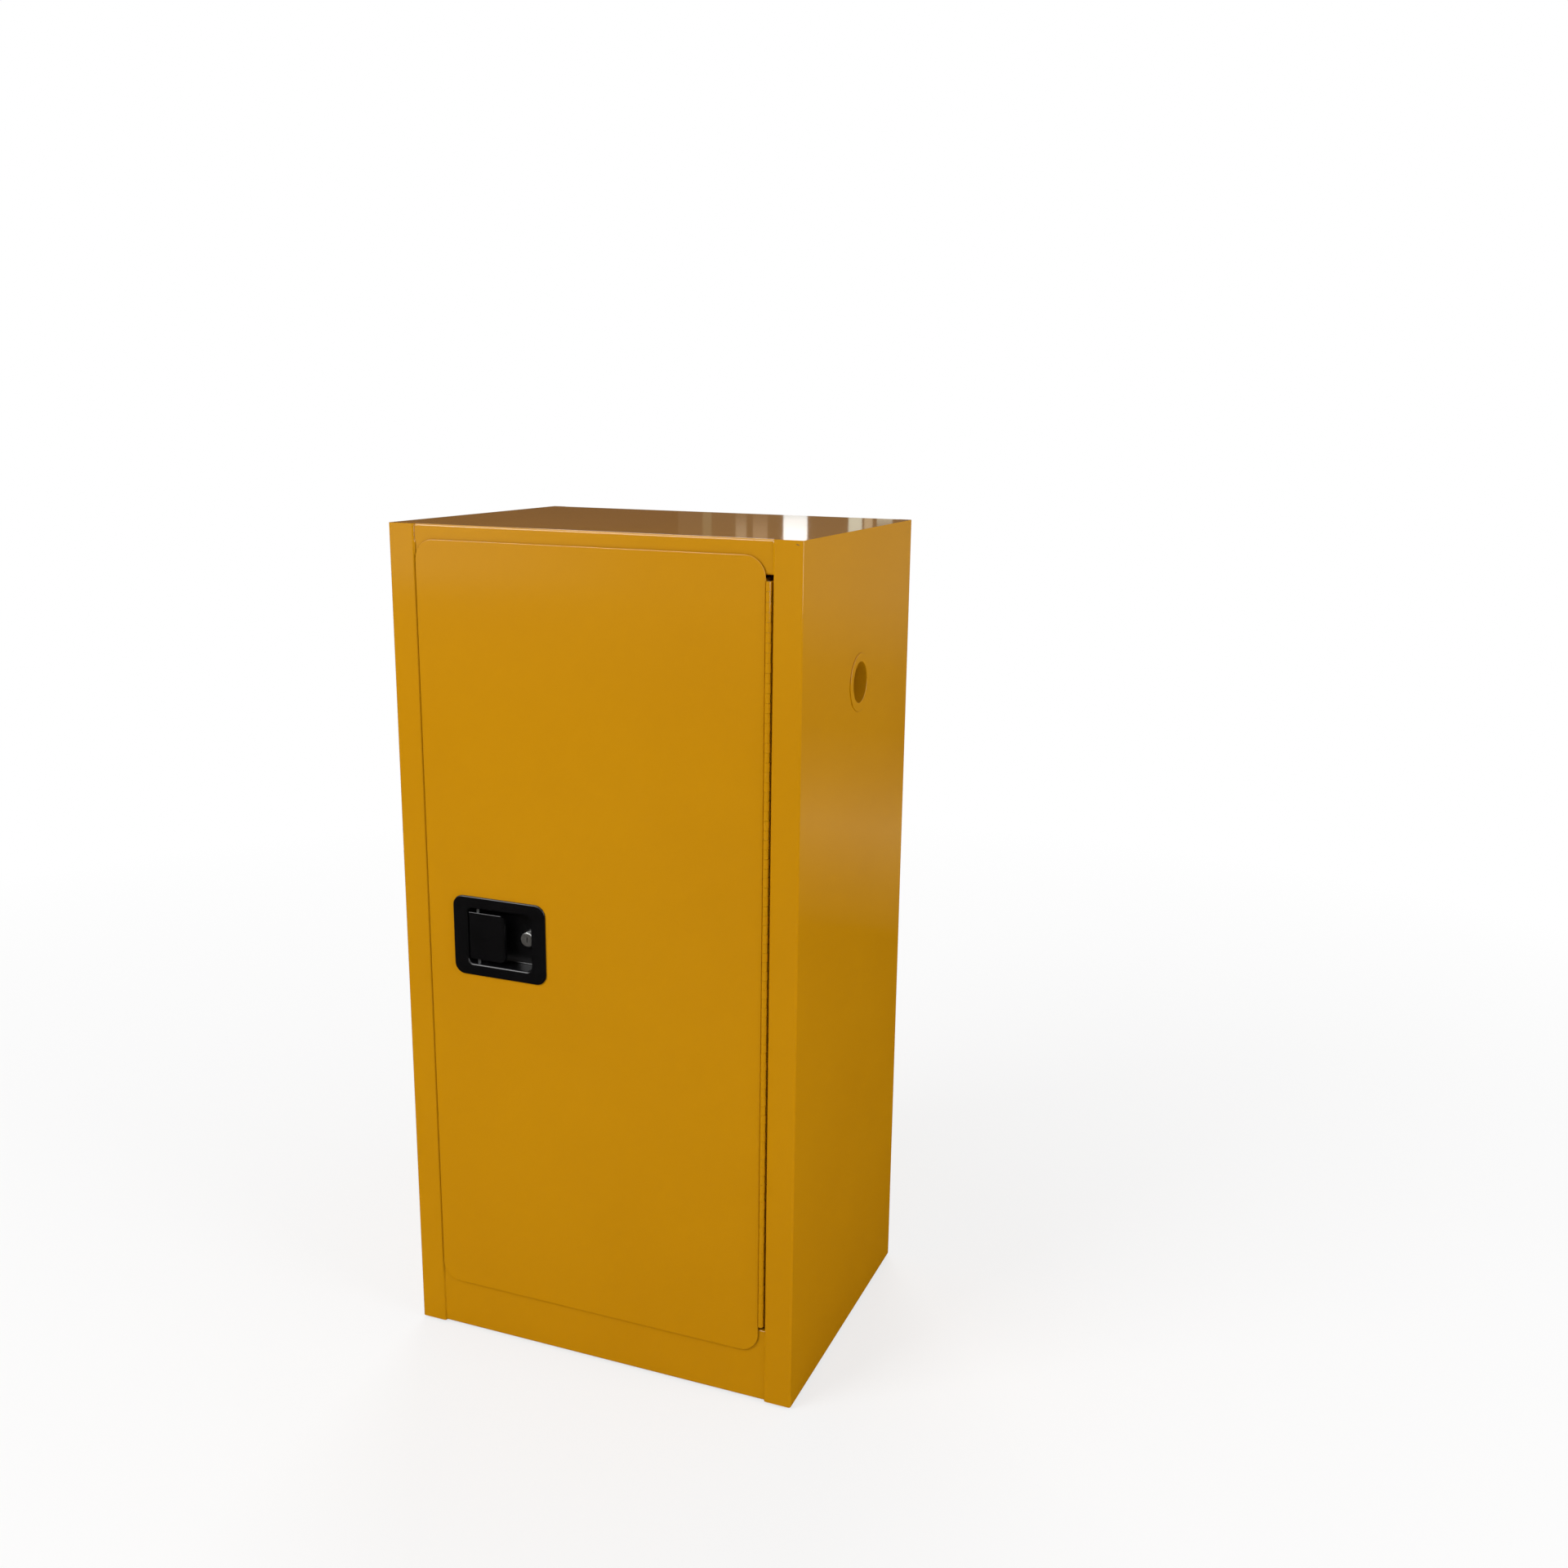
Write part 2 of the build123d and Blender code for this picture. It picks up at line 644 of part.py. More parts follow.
def foot_places():
    x = SIDE - FOOT_INSET_X
    front = FRONT + FOOT_INSET_FRONT
    rear = BACK - FOOT_INSET_REAR
    return [(-x, front), (x, front), (-x, rear), (x, rear)]


def foot(x, y):
    """Round pad on a threaded stud."""
    pad = bar((x, y, 0), (x, y, FOOT_PAD_HEIGHT), FOOT_PAD / 2)
    pad = chamfer(pad.faces().sort_by(Axis.Z)[-1].edges(), FOOT_CHAMFER)
    return pad + bar((x, y, 0), (x, y, FOOT_STUD_TOP), FOOT_STUD / 2)


def foot_nuts():
    nut = hexagon(FOOT_NUT) - Circle(FOOT_STUD / 2 + FOOT_FIT)
    base = BASE + SHEET
    return [extrude(Plane((x, y, base)) * nut, FOOT_NUT_HEIGHT) for x, y in foot_places()]


# Piano hinge

def hinge_leaf(side, first):
    """One leaf, on the door side (-1) or the frame side (+1), with every second knuckle."""
    near = HINGE_X + side * KNUCKLE_R
    far = near - side * HINGE_LEAF
    leaf_x = sorted((near, far))
    leaf_y = (FRONT + LEAF_RELIEF, FRONT + HINGE_LEAF_WIDTH)
    leaf = block(leaf_x, leaf_y, (HINGE_LOW, HINGE_HIGH))
    outline = Pos(HINGE_X, FRONT) * Circle(KNUCKLE_R)
    neck = (near + far) / 2
    outline += Pos(neck, FRONT + LEAF_RELIEF / 2) * Rectangle(HINGE_LEAF, LEAF_RELIEF)
    outline -= Pos(HINGE_X, FRONT) * Circle(HINGE_PIN_R + HINGE_FIT)
    knuckles = []
    for index in range(first, KNUCKLES, 2):
        low = HINGE_LOW + index * KNUCKLE + KNUCKLE_GAP / 2
        knuckles.append(extrude(Plane((0, 0, low)) * outline, KNUCKLE - KNUCKLE_GAP))
    leaf = leaf.fuse(*knuckles)
    return leaf - [rivet_hole(side, z) for z in rivet_heights(side)]


def rivet_heights(side):
    """Rivets of the two leaves are staggered, so their heads pass each other."""
    count = floor((HINGE_HIGH - HINGE_LOW) / RIVET_PITCH)
    start = HINGE_LOW + (DOOR_RIVET_START if side < 0 else FRAME_RIVET_START)
    heights = [start + index * RIVET_PITCH for index in range(count)]
    return [z for z in heights if z < HINGE_HIGH - 2 * RIVET_HEAD_R]


def rivet_reach(side):
    """Inner face of the leaf, and the far face of what it is riveted to."""
    near = HINGE_X + side * KNUCKLE_R
    inner = near - side * HINGE_LEAF
    seat = OPEN_X if side > 0 else PAN_RIGHT - SHEET
    return inner, seat


def rivet_hole(side, z):
    inner, seat = rivet_reach(side)
    y = FRONT + RIVET_Y
    return bar((inner, y, z), (seat, y, z), RIVET_R)


def hinge_rivets(side):
    inner, _ = rivet_reach(side)
    y = FRONT + RIVET_Y
    solids = []
    for z in rivet_heights(side):
        head = bar((inner, y, z), (inner - side * RIVET_HEAD, y, z), RIVET_HEAD_R)
        solids.append(head + rivet_hole(side, z))
    return solids


def hinge_pin():
    return bar((HINGE_X, FRONT, HINGE_LOW), (HINGE_X, FRONT, HINGE_HIGH), HINGE_PIN_R)


def hinge_mounting_strip():
    strip_y = (FRONT + STRIP_START, FRONT + STRIP_END)
    strip = block((OPEN_X - STILE_GAP, OPEN_X), strip_y, (HINGE_LOW, HINGE_HIGH))
    return strip - [rivet_hole(1, z) for z in rivet_heights(1)]


# Door

def fixing_places():
    x = BEZEL_WIDTH / 2 - FIXING_INSET
    z = BEZEL_HEIGHT / 2 - FIXING_INSET
    return [(LATCH_X + i * x, LATCH_Z + j * z) for i in (-1, 1) for j in (-1, 1)]


def door_skin():
    width = SKIN_RIGHT - SKIN_LEFT
    height = SKIN_HIGH - SKIN_LOW
    middle = facing_front((SKIN_LEFT + SKIN_RIGHT) / 2, SKIN_BACK, (SKIN_LOW + SKIN_HIGH) / 2)
    skin = extrude(middle * RectangleRounded(width, height, SKIN_CORNER), SKIN)
    grown = 2 * (BEZEL_SHEET + CUTOUT_GAP)
    cutout = RectangleRounded(WELL_WIDTH + grown, WELL_HEIGHT + grown, WELL_CORNER + grown / 2)
    skin -= extrude(facing_front(LATCH_X, SKIN_BACK, LATCH_Z) * cutout, SKIN)
    for x, z in fixing_places():
        skin -= bar((x, SKIN_BACK, z), (x, SKIN_FACE, z), FIXING_R)
    front = skin.faces().sort_by(Axis.Y)[0]
    return fillet(front.outer_wire().edges(), SKIN_ROUND)


def door_pan():
    """Inner half of the door: a tray whose rim is welded to the back of the skin."""
    width = PAN_RIGHT - PAN_LEFT
    height = PAN_HIGH - PAN_LOW
    depth = PAN_BACK - SKIN_BACK
    x = (PAN_LEFT + PAN_RIGHT) / 2
    z = (PAN_LOW + PAN_HIGH) / 2
    outer = RectangleRounded(width, height, PAN_CORNER)
    inner = RectangleRounded(width - 2 * SHEET, height - 2 * SHEET, PAN_CORNER - SHEET)
    pan = extrude(facing_front(x, PAN_BACK, z) * outer, depth)
    pan = fillet(pan.faces().sort_by(Axis.Y)[-1].edges(), BEND)
    pan -= extrude(facing_front(x, PAN_BACK - SHEET, z) * inner, depth)
    relief = (SKIN_BACK, FRONT + LEAF_RELIEF)
    pan -= block((PAN_RIGHT - SHEET, PAN_RIGHT), relief, (PAN_LOW, PAN_HIGH))
    half = ROD_WIDTH / 2 + BOLT_FIT
    rod_y = (ROD_FACE - BOLT_FIT, ROD_BACK + BOLT_FIT)
    for rod_z in ((PAN_LOW, PAN_LOW + SHEET), (PAN_HIGH - SHEET, PAN_HIGH)):
        pan -= block((ROD_X - half, ROD_X + half), rod_y, rod_z)
    half = BOLT_NOSE / 2 + BOLT_FIT
    bolt_y = (BOLT_FACE - BOLT_FIT, BOLT_BACK + BOLT_FIT)
    pan -= block((PAN_LEFT, PAN_LEFT + SHEET), bolt_y, (LATCH_Z - half, LATCH_Z + half))
    return pan - [rivet_hole(-1, z) for z in rivet_heights(-1)]


def door_stiffener():
    """Hat channel between the skin and the pan."""
    half = SHEET / 2
    front = SKIN_BACK + half
    back = PAN_BACK - SHEET - half
    left = STIFFENER_X - STIFFENER_WIDTH / 2
    right = STIFFENER_X + STIFFENER_WIDTH / 2
    outline = [
        (left - STIFFENER_FLANGE, back),
        (left, back),
        (left, front),
        (right, front),
        (right, back),
        (right + STIFFENER_FLANGE, back),
    ]
    base = Plane.XY.offset(PAN_LOW + STIFFENER_END)
    return folded(outline, base, PAN_HIGH - PAN_LOW - 2 * STIFFENER_END)


# Latch

def latch_bezel():
    """Pressed housing: a rounded flange and a drafted well with openings in its floor."""
    flange = RectangleRounded(BEZEL_WIDTH, BEZEL_HEIGHT, BEZEL_CORNER)
    bezel = extrude(facing_front(LATCH_X, SKIN_FACE, LATCH_Z) * flange, BEZEL_PROUD)
    face = facing_front(LATCH_X, BEZEL_FACE, LATCH_Z)
    grown = 2 * BEZEL_SHEET
    shell = RectangleRounded(WELL_WIDTH + grown, WELL_HEIGHT + grown, WELL_CORNER + BEZEL_SHEET)
    well = RectangleRounded(WELL_WIDTH, WELL_HEIGHT, WELL_CORNER)
    bezel += extrude(face * shell, -(WELL_DEPTH + BEZEL_SHEET), taper=WELL_DRAFT)
    bezel -= extrude(face * well, -WELL_DEPTH, taper=WELL_DRAFT)
    front = bezel.faces().sort_by(Axis.Y)[0]
    bezel = fillet(front.outer_wire().edges(), BEZEL_ROUND)
    front = bezel.faces().sort_by(Axis.Y)[0]
    bezel = fillet(front.inner_wires()[0].edges(), MOUTH_ROUND)
    levels = bezel.faces().filter_by(Axis.Y)
    floor_face = min(levels, key=lambda level: abs(level.center().Y - WELL_FLOOR))
    bezel = fillet(floor_face.edges(), FLOOR_ROUND)
    bezel -= block(*tang_slot())
    lock_x = LATCH_X + LOCK_X
    hole_r = LOCK_BODY_R + LOCK_HOLE_FIT
    bezel -= bar((lock_x, WELL_FLOOR, LATCH_Z), (lock_x, BEZEL_BACK, LATCH_Z), hole_r)
    return bezel - paddle_pin(PADDLE_FIT)


def tang_slot():
    """Limits of the slot in the well floor that the tang swings through."""
    swing = radians(PADDLE_SWING)
    lean = (BEZEL_BACK - PIN_Y) * tan(swing) + TANG_SHEET / 2 / cos(swing)
    slot_x = (PIN_X - TANG_SHEET / 2 - 2 * BOLT_FIT, PIN_X + lean + 2 * BOLT_FIT)
    reach = TANG_WIDTH / 2 + BOLT_FIT
    return slot_x, (WELL_FLOOR, BEZEL_BACK), (LATCH_Z - reach, LATCH_Z + reach)


def latch_fixings():
    """Studs on the back of the flange, each with its nut behind the skin."""
    solids = []
    for x, z in fixing_places():
        stud = bar((x, SKIN_FACE, z), (x, SKIN_FACE + FIXING_LENGTH, z), FIXING_R)
        nut = extrude(facing_front(x, SKIN_BACK, z) * hexagon(FIXING_NUT), -FIXING_NUT_HEIGHT)
        solids.append(stud + nut)
    return solids


def paddle_pin(grow=0.0):
    """Pin through the top and bottom walls of the well."""
    drawn_in = (PIN_Y - BEZEL_FACE) * tan(radians(WELL_DRAFT))
    reach = WELL_HEIGHT / 2 - drawn_in + BEZEL_SHEET + PADDLE_PIN_R / 2
    ends = [(PIN_X, PIN_Y, LATCH_Z + sign * (reach + grow)) for sign in (-1, 1)]
    return bar(*ends, PADDLE_PIN_R + grow)


def paddle():
    """Plate on a barrel round the pin, with a finger lip and a driving tang."""
    heel = PIN_X - PADDLE_HEEL
    free = PIN_X + PADDLE_REACH
    half = PADDLE_SHEET / 2
    face = PADDLE_FACE + half
    path = FilletPolyline(
        (heel, face),
        (free - half, face),
        (free - half, PADDLE_FACE + PADDLE_LIP),
        radius=BEND + half,
    )
    half_height = PADDLE_HEIGHT / 2
    base = Plane.XY.offset(LATCH_Z - half_height)
    plate = extrude(base * trace(path, line_width=PADDLE_SHEET), PADDLE_HEIGHT)
    front = plate.faces().sort_by(Axis.Y)[0]
    heel_edge = front.edges().filter_by(Axis.Z).sort_by(Axis.X)[:1]
    plate = fillet(front.edges().filter_by(Axis.X) + heel_edge, PADDLE_ROUND)
    span = 2 * (free - heel)
    outline = RectangleRounded(span, PADDLE_HEIGHT, PADDLE_CORNER)
    plate &= extrude(facing_front(free - span / 2, PADDLE_FACE, LATCH_Z) * outline, -PADDLE_LIP)
    ends = [(PIN_X, PIN_Y, LATCH_Z + sign * half_height) for sign in (-1, 1)]
    barrel = bar(*ends, PADDLE_BARREL_R)
    barrel = fillet(barrel.edges().filter_by(GeomType.CIRCLE), PADDLE_ROUND)
    body = plate + barrel
    tang_x = (PIN_X - TANG_SHEET / 2, PIN_X + TANG_SHEET / 2)
    tang_end = PIN_Y + (BOLT_BACK - PIN_Y) / cos(radians(PADDLE_SWING)) + TANG_SHEET / 2
    reach = TANG_WIDTH / 2
    body += block(tang_x, (PIN_Y, tang_end), (LATCH_Z - reach, LATCH_Z + reach))
    low = LATCH_Z + SPRING_OFFSET - SPRING_PLAY
    high = low + SPRING_LENGTH + 2 * SPRING_PLAY
    pocket_r = PADDLE_PIN_R + SPRING_WIRE + SPRING_PLAY
    body -= bar((PIN_X, PIN_Y, low), (PIN_X, PIN_Y, high), pocket_r)
    behind_x = (PIN_X - PADDLE_BARREL_R, PIN_X + PADDLE_BARREL_R)
    body -= block(behind_x, (PIN_Y, PIN_Y + PADDLE_BARREL_R), (low, high))
    return body - bar(*ends, PADDLE_PIN_R + PADDLE_FIT)


def paddle_spring():
    """Close-wound torsion spring on the pin, as a sleeve with one leg on the well floor."""
    low = LATCH_Z + SPRING_OFFSET
    ends = [(PIN_X, PIN_Y, low), (PIN_X, PIN_Y, low + SPRING_LENGTH)]
    leg = low + SPRING_WIRE / 2
    coil = bar(*ends, PADDLE_PIN_R + SPRING_WIRE)
    coil += bar((PIN_X, PIN_Y, leg), (PIN_X, WELL_FLOOR, leg), SPRING_WIRE / 2)
    return coil - bar(*ends, PADDLE_PIN_R + PADDLE_FIT)


def side_bolt():
    """Sliding plate with the side bolt on its left and cam slots for the two rods."""
    right = ROD_X + FOLLOWER_R + ROD_WIDTH
    left = PIN_X - TANG_LAG - TANG_WIDTH / 2
    half = BOLT_HEIGHT / 2
    plate_y = (BOLT_FACE, BOLT_BACK)
    plate = block((left, right), plate_y, (LATCH_Z - half, LATCH_Z + half))
    nose = BOLT_NOSE / 2
    tip = JAMB_X - BOLT_ENGAGE
    plate += block((tip, left), plate_y, (LATCH_Z - nose, LATCH_Z + nose))
    window_x = (PIN_X - TANG_LAG, PIN_X + TANG_SHEET / 2 + TANG_PLAY)
    reach = TANG_WIDTH / 2 + BOLT_FIT
    plate -= block(window_x, plate_y, (LATCH_Z - reach, LATCH_Z + reach))
    cam_width = 2 * (FOLLOWER_R + BOLT_FIT)
    guide_width = 2 * (GUIDE_STUD_R + BOLT_FIT)
    guide_x = LATCH_X - GUIDE_STUD_X
    for side in (-1, 1):
        start = (ROD_X, LATCH_Z + side * FOLLOWER_Z)
        end = (ROD_X - BOLT_TRAVEL, LATCH_Z + side * (FOLLOWER_Z - BOLT_TRAVEL))
        plate -= slot_between(start, end, cam_width, *plate_y)
        z = LATCH_Z + side * GUIDE_STUD_Z
        plate -= slot_between((guide_x - BOLT_TRAVEL, z), (guide_x, z), guide_width, *plate_y)
    return plate


def bolt_guides():
    """Shouldered studs on the back of the well that the bolt slides on."""
    x = LATCH_X - GUIDE_STUD_X
    solids = []
    for side in (-1, 1):
        z = LATCH_Z + side * GUIDE_STUD_Z
        head = BOLT_BACK + GUIDE_PLAY
        stud = bar((x, BEZEL_BACK, z), (x, BOLT_FACE - GUIDE_PLAY, z), GUIDE_HEAD_R)
        stud += bar((x, BEZEL_BACK, z), (x, head, z), GUIDE_STUD_R)
        stud += bar((x, head, z), (x, head + GUIDE_HEAD, z), GUIDE_HEAD_R)
        solids.append(stud)
    return solids


def latch_rod(side, tip):
    """Flat rod up (+1) or down (-1) from the bolt, with its follower pin."""
    follower = LATCH_Z + side * FOLLOWER_Z
    ends = sorted((follower - side * FOLLOWER_TAIL, tip))
    half = ROD_WIDTH / 2
    rod = block((ROD_X - half, ROD_X + half), (ROD_FACE, ROD_BACK), ends)
    return rod + bar((ROD_X, ROD_FACE, follower), (ROD_X, BOLT_FACE, follower), FOLLOWER_R)


def top_rod():
    return latch_rod(1, HEAD_Z + ROD_ENGAGE)


def bottom_rod():
    return latch_rod(-1, SILL - ROD_ENGAGE)


def rod_guides():
    """Straps on the pan that the rods slide in."""
    inner = ROD_WIDTH / 2 + BOLT_FIT
    outer = inner + ROD_GUIDE_WALL
    strap_y = (ROD_FACE - BOLT_FIT - SHEET, PAN_BACK - SHEET)
    hole_y = (ROD_FACE - BOLT_FIT, ROD_BACK + BOLT_FIT)
    heights = (
        PAN_LOW + ROD_GUIDE_FAR,
        LATCH_Z - ROD_GUIDE_NEAR,
        LATCH_Z + ROD_GUIDE_NEAR,
        PAN_HIGH - ROD_GUIDE_FAR,
    )
    solids = []
    for z in heights:
        span = (z - ROD_GUIDE_HEIGHT / 2, z + ROD_GUIDE_HEIGHT / 2)
        strap = block((ROD_X - outer, ROD_X + outer), strap_y, span)
        solids.append(strap - block((ROD_X - inner, ROD_X + inner), hole_y, span))
    return solids


# Key lock

def lock_body():
    """Threaded barrel with a round head that seats on the well floor."""
    x = LATCH_X + LOCK_X
    face = BEZEL_FACE + LOCK_FACE
    end = WELL_FLOOR + LOCK_BODY_END
    body = bar((x, face, LATCH_Z), (x, WELL_FLOOR, LATCH_Z), LOCK_HEAD_R)
    body = chamfer(body.faces().sort_by(Axis.Y)[0].edges(), LOCK_SHOULDER / 2)
    body += bar((x, WELL_FLOOR, LATCH_Z), (x, end, LATCH_Z), LOCK_BODY_R)
    return body - bar((x, face, LATCH_Z), (x, end, LATCH_Z), LOCK_PLUG_R + LOCK_FIT)


def lock_plug():
    """Turning plug with a key slot, long enough to carry the cam."""
    x = LATCH_X + LOCK_X
    face = BEZEL_FACE + LOCK_FACE
    end = WELL_FLOOR + LOCK_BODY_END + LOCK_CAM_GAP + LOCK_CAM_SHEET
    plug = bar((x, face, LATCH_Z), (x, end, LATCH_Z), LOCK_PLUG_R)
    half = KEYWAY_WIDTH / 2
    tall = KEYWAY_HEIGHT / 2
    return plug - block((x - half, x + half), (face, face + KEYWAY_DEPTH), (LATCH_Z - tall, LATCH_Z + tall))


def lock_cam():
    """Cam tongue on the end of the plug, hanging down while unlocked."""
    x = LATCH_X + LOCK_X
    start = WELL_FLOOR + LOCK_BODY_END + LOCK_CAM_GAP
    reach = LOCK_CAM_REACH - LOCK_CAM_WIDTH / 2
    end = start + LOCK_CAM_SHEET
    cam = slot_between((x, LATCH_Z), (x, LATCH_Z - reach), LOCK_CAM_WIDTH, start, end)
    cam += bar((x, start, LATCH_Z), (x, end, LATCH_Z), LOCK_BODY_R)
    return cam - bar((x, start, LATCH_Z), (x, end, LATCH_Z), LOCK_PLUG_R)


def lock_nut():
    plane = facing_front(LATCH_X + LOCK_X, BEZEL_BACK, LATCH_Z)
    ring = hexagon(LOCK_NUT) - Circle(LOCK_BODY_R)
    return extrude(plane * ring, -LOCK_NUT_HEIGHT)


def assembly():
    """Every node by name; a list is a group of separate solids."""
    nodes = {
        "left_side_panel": left_side_panel(),
        "right_side_panel": right_side_panel(),
        "back_panel": back_panel(),
        "top_panel": top_panel(),
        "front_sill": front_sill(),
        "latch_jamb": latch_jamb(),
        "bottom_panel": bottom_panel(),
        "liner_left": liner_left(),
        "liner_right": liner_right(),
        "liner_back": liner_back(),
        "liner_top": liner_top(),
        "sump_pan": sump_pan(),
        "sump_supports": sump_supports(),
        "wall_spacers": wall_spacers(),
        "shelf_standards": shelf_standards(),
        "upper_shelf": shelf(UPPER_SLOT),
        "lower_shelf": shelf(LOWER_SLOT),
        "upper_shelf_clips": shelf_clips(UPPER_SLOT),
        "lower_shelf_clips": shelf_clips(LOWER_SLOT),
        "right_vent_sleeve": vent_sleeve(VENT_HIGH),
        "right_vent_nut": vent_nut(VENT_HIGH),
        "right_flame_screen": flame_screen(VENT_HIGH),
        "left_vent_sleeve": mirrored(vent_sleeve(VENT_LOW)),
        "left_vent_nut": mirrored(vent_nut(VENT_LOW)),
        "left_flame_screen": mirrored(flame_screen(VENT_LOW)),
        "earth_stud": earth_stud(),
        "earth_nut": earth_nut(),
        "foot_nuts": foot_nuts(),
        "hinge_mounting_strip": hinge_mounting_strip(),
        "hinge_frame_leaf": hinge_leaf(1, 0),
        "hinge_door_leaf": hinge_leaf(-1, 1),
        "hinge_pin": hinge_pin(),
        "hinge_frame_rivets": hinge_rivets(1),
        "hinge_door_rivets": hinge_rivets(-1),
        "door_skin": door_skin(),
        "door_pan": door_pan(),
        "door_stiffener": door_stiffener(),
        "latch_bezel": latch_bezel(),
        "latch_fixings": latch_fixings(),
        "paddle": paddle(),
        "paddle_pin": paddle_pin(),
        "paddle_spring": paddle_spring(),
        "side_bolt": side_bolt(),
        "bolt_guides": bolt_guides(),
        "top_rod": top_rod(),
        "bottom_rod": bottom_rod(),
        "rod_guides": rod_guides(),
        "lock_body": lock_body(),
        "lock_plug": lock_plug(),
        "lock_cam": lock_cam(),
        "lock_nut": lock_nut(),
    }
    names = ("front_left_foot", "front_right_foot", "rear_left_foot", "rear_right_foot")
    for name, place in zip(names, foot_places()):
        nodes[name] = foot(*place)
    return nodes


def main():
    os.makedirs("parts", exist_ok=True)
    for name, shape in assembly().items():
        if isinstance(shape, list):
            shape = Compound([solid for piece in shape for solid in piece.solids()])
        export_step(shape, f"parts/{name}.step")


main()
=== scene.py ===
import json
from math import cos, radians, sin, tau

import bpy
from mathutils import Matrix, Vector


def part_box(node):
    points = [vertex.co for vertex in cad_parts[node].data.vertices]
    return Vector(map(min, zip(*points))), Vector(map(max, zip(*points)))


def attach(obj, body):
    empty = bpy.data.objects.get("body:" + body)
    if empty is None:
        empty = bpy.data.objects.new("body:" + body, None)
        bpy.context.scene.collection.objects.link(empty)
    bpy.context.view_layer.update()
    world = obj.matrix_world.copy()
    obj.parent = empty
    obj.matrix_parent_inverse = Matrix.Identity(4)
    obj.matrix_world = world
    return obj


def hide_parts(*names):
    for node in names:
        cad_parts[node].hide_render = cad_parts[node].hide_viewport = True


# How a single-door steel solvent cabinet looks. Metres, X right, Y back, Z up.
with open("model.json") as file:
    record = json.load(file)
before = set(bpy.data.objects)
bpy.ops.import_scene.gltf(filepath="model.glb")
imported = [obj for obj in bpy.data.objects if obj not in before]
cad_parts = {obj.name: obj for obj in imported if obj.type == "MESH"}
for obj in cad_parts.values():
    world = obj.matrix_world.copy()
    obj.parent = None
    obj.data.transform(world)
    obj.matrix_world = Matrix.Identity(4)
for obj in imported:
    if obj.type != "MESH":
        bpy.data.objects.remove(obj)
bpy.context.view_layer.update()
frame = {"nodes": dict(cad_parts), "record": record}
NODES = frame["nodes"]
SLOT_OF = {part["node"]: part["material_slot"] for part in frame["record"]["subparts"]}
MM = 0.001

# Stoved coats: colours as sRGB, roughness from its least to its most, and refractive index
YELLOW = "C3880A"
YELLOW_THIN = "BF8408"
YELLOW_ROUGH = (0.06, 0.11)
BLACK = "070708"
BLACK_RUBBED = "0C0C0E"
BLACK_ROUGH = (0.2, 0.3)
SCUFF = "6A4A14"
SCUFF_ROUGH = 0.7
COAT_IOR = 1.5

# Plated and galvanised metal: colours as sRGB, and roughness from its least to its most
NICKEL = "CFCFCC"
NICKEL_ROUGH = (0.3, 0.42)
SPANGLE_LIGHT = "D2D5D7"
SPANGLE_DARK = "C0C4C8"
SPANGLE_ROUGH = (0.38, 0.46)
ZINC = "B4B6B8"
ZINC_DULL = "94969A"
ZINC_ROUGH = (0.25, 0.45)

# Patterns of the finishes: size across, and depth. The peel of the coat is really about 2 mm
# across; it is drawn at 6 mm, which the picture can still show.
PEEL = 6 * MM
PEEL_DEPTH = 0.01 * MM
SHEET_WAVE = 260 * MM
SHEET_WAVE_DEPTH = 0.5 * MM
COAT_CLOUD = 300 * MM
ENAMEL_GRAIN = 2 * MM
ENAMEL_GRAIN_DEPTH = 0.008 * MM
ENAMEL_RUB = 40 * MM
NICKEL_HAZE = 3 * MM
SPANGLE = 12 * MM
ZINC_CLOUD = 8 * MM

# Edges that turn by more degrees than this stay sharp
SHARP_EDGE = 35

# Rivets of the hinge leaves, with the angles of the rings on their domes
RIVETS = 8
RIVET_R = 1.6 * MM
RIVET_HEAD_R = 3.2 * MM
RIVET_HEAD = 1.0 * MM
RIVET_DOME = (12, 26, 42, 60, 78)
RIVET_STEPS = 20

# Torsion spring of the paddle
SPRING_WIRE = 1.0 * MM
SPRING_TURNS = 11
SPRING_STEPS = 20
WIRE_SIDES = 8

# Levelling feet
FOOT_PAD = 8.0 * MM
FOOT_CHAMFER = 3.2 * MM
FOOT_EDGE = 0.8 * MM
FOOT_STEPS = 40
FOOT_STUD_R = 5.0 * MM
FOOT_PITCH = 1.5 * MM
FOOT_THREAD = 0.7 * MM

# Earth stud
EARTH_SHANK = 14.0 * MM
EARTH_SHANK_STEPS = 24
EARTH_STUD_R = 3.0 * MM
EARTH_PITCH = 1.0 * MM
EARTH_THREAD = 0.45 * MM

# Screw threads: rings to a turn of the thread, and steps round a ring
THREAD_RINGS = 6
THREAD_STEPS = 20

# Coat that bridges the seams of header and sill with the stiles: its lap on the sheet, the angle
# at which it meets the fold of the stile, how it sinks at its ends, and the heights it spans
STILE_FOLD = 3.0 * MM
SEAM_COAT_LAP = 0.8 * MM
SEAM_COAT_ANGLE = 40
SEAM_COAT_PROUD = 0.02 * MM
SEAM_COAT_SAG = 0.08 * MM
SEAM_COAT_DEPTH = 0.4 * MM
SEAM_COAT_TAPER = 5.0 * MM
SEAM_COAT_SINK = 0.8 * MM
SEAM_COAT_STEPS = 5
LATCH_HEADER_COAT = ((1.157, 1.178),)
HINGE_HEADER_COAT = ((1.157, 1.198),)
LATCH_SILL_COAT = ((0.019, 0.034), (0.043, 0.109))
HINGE_SILL_COAT = ((0.005, 0.109),)

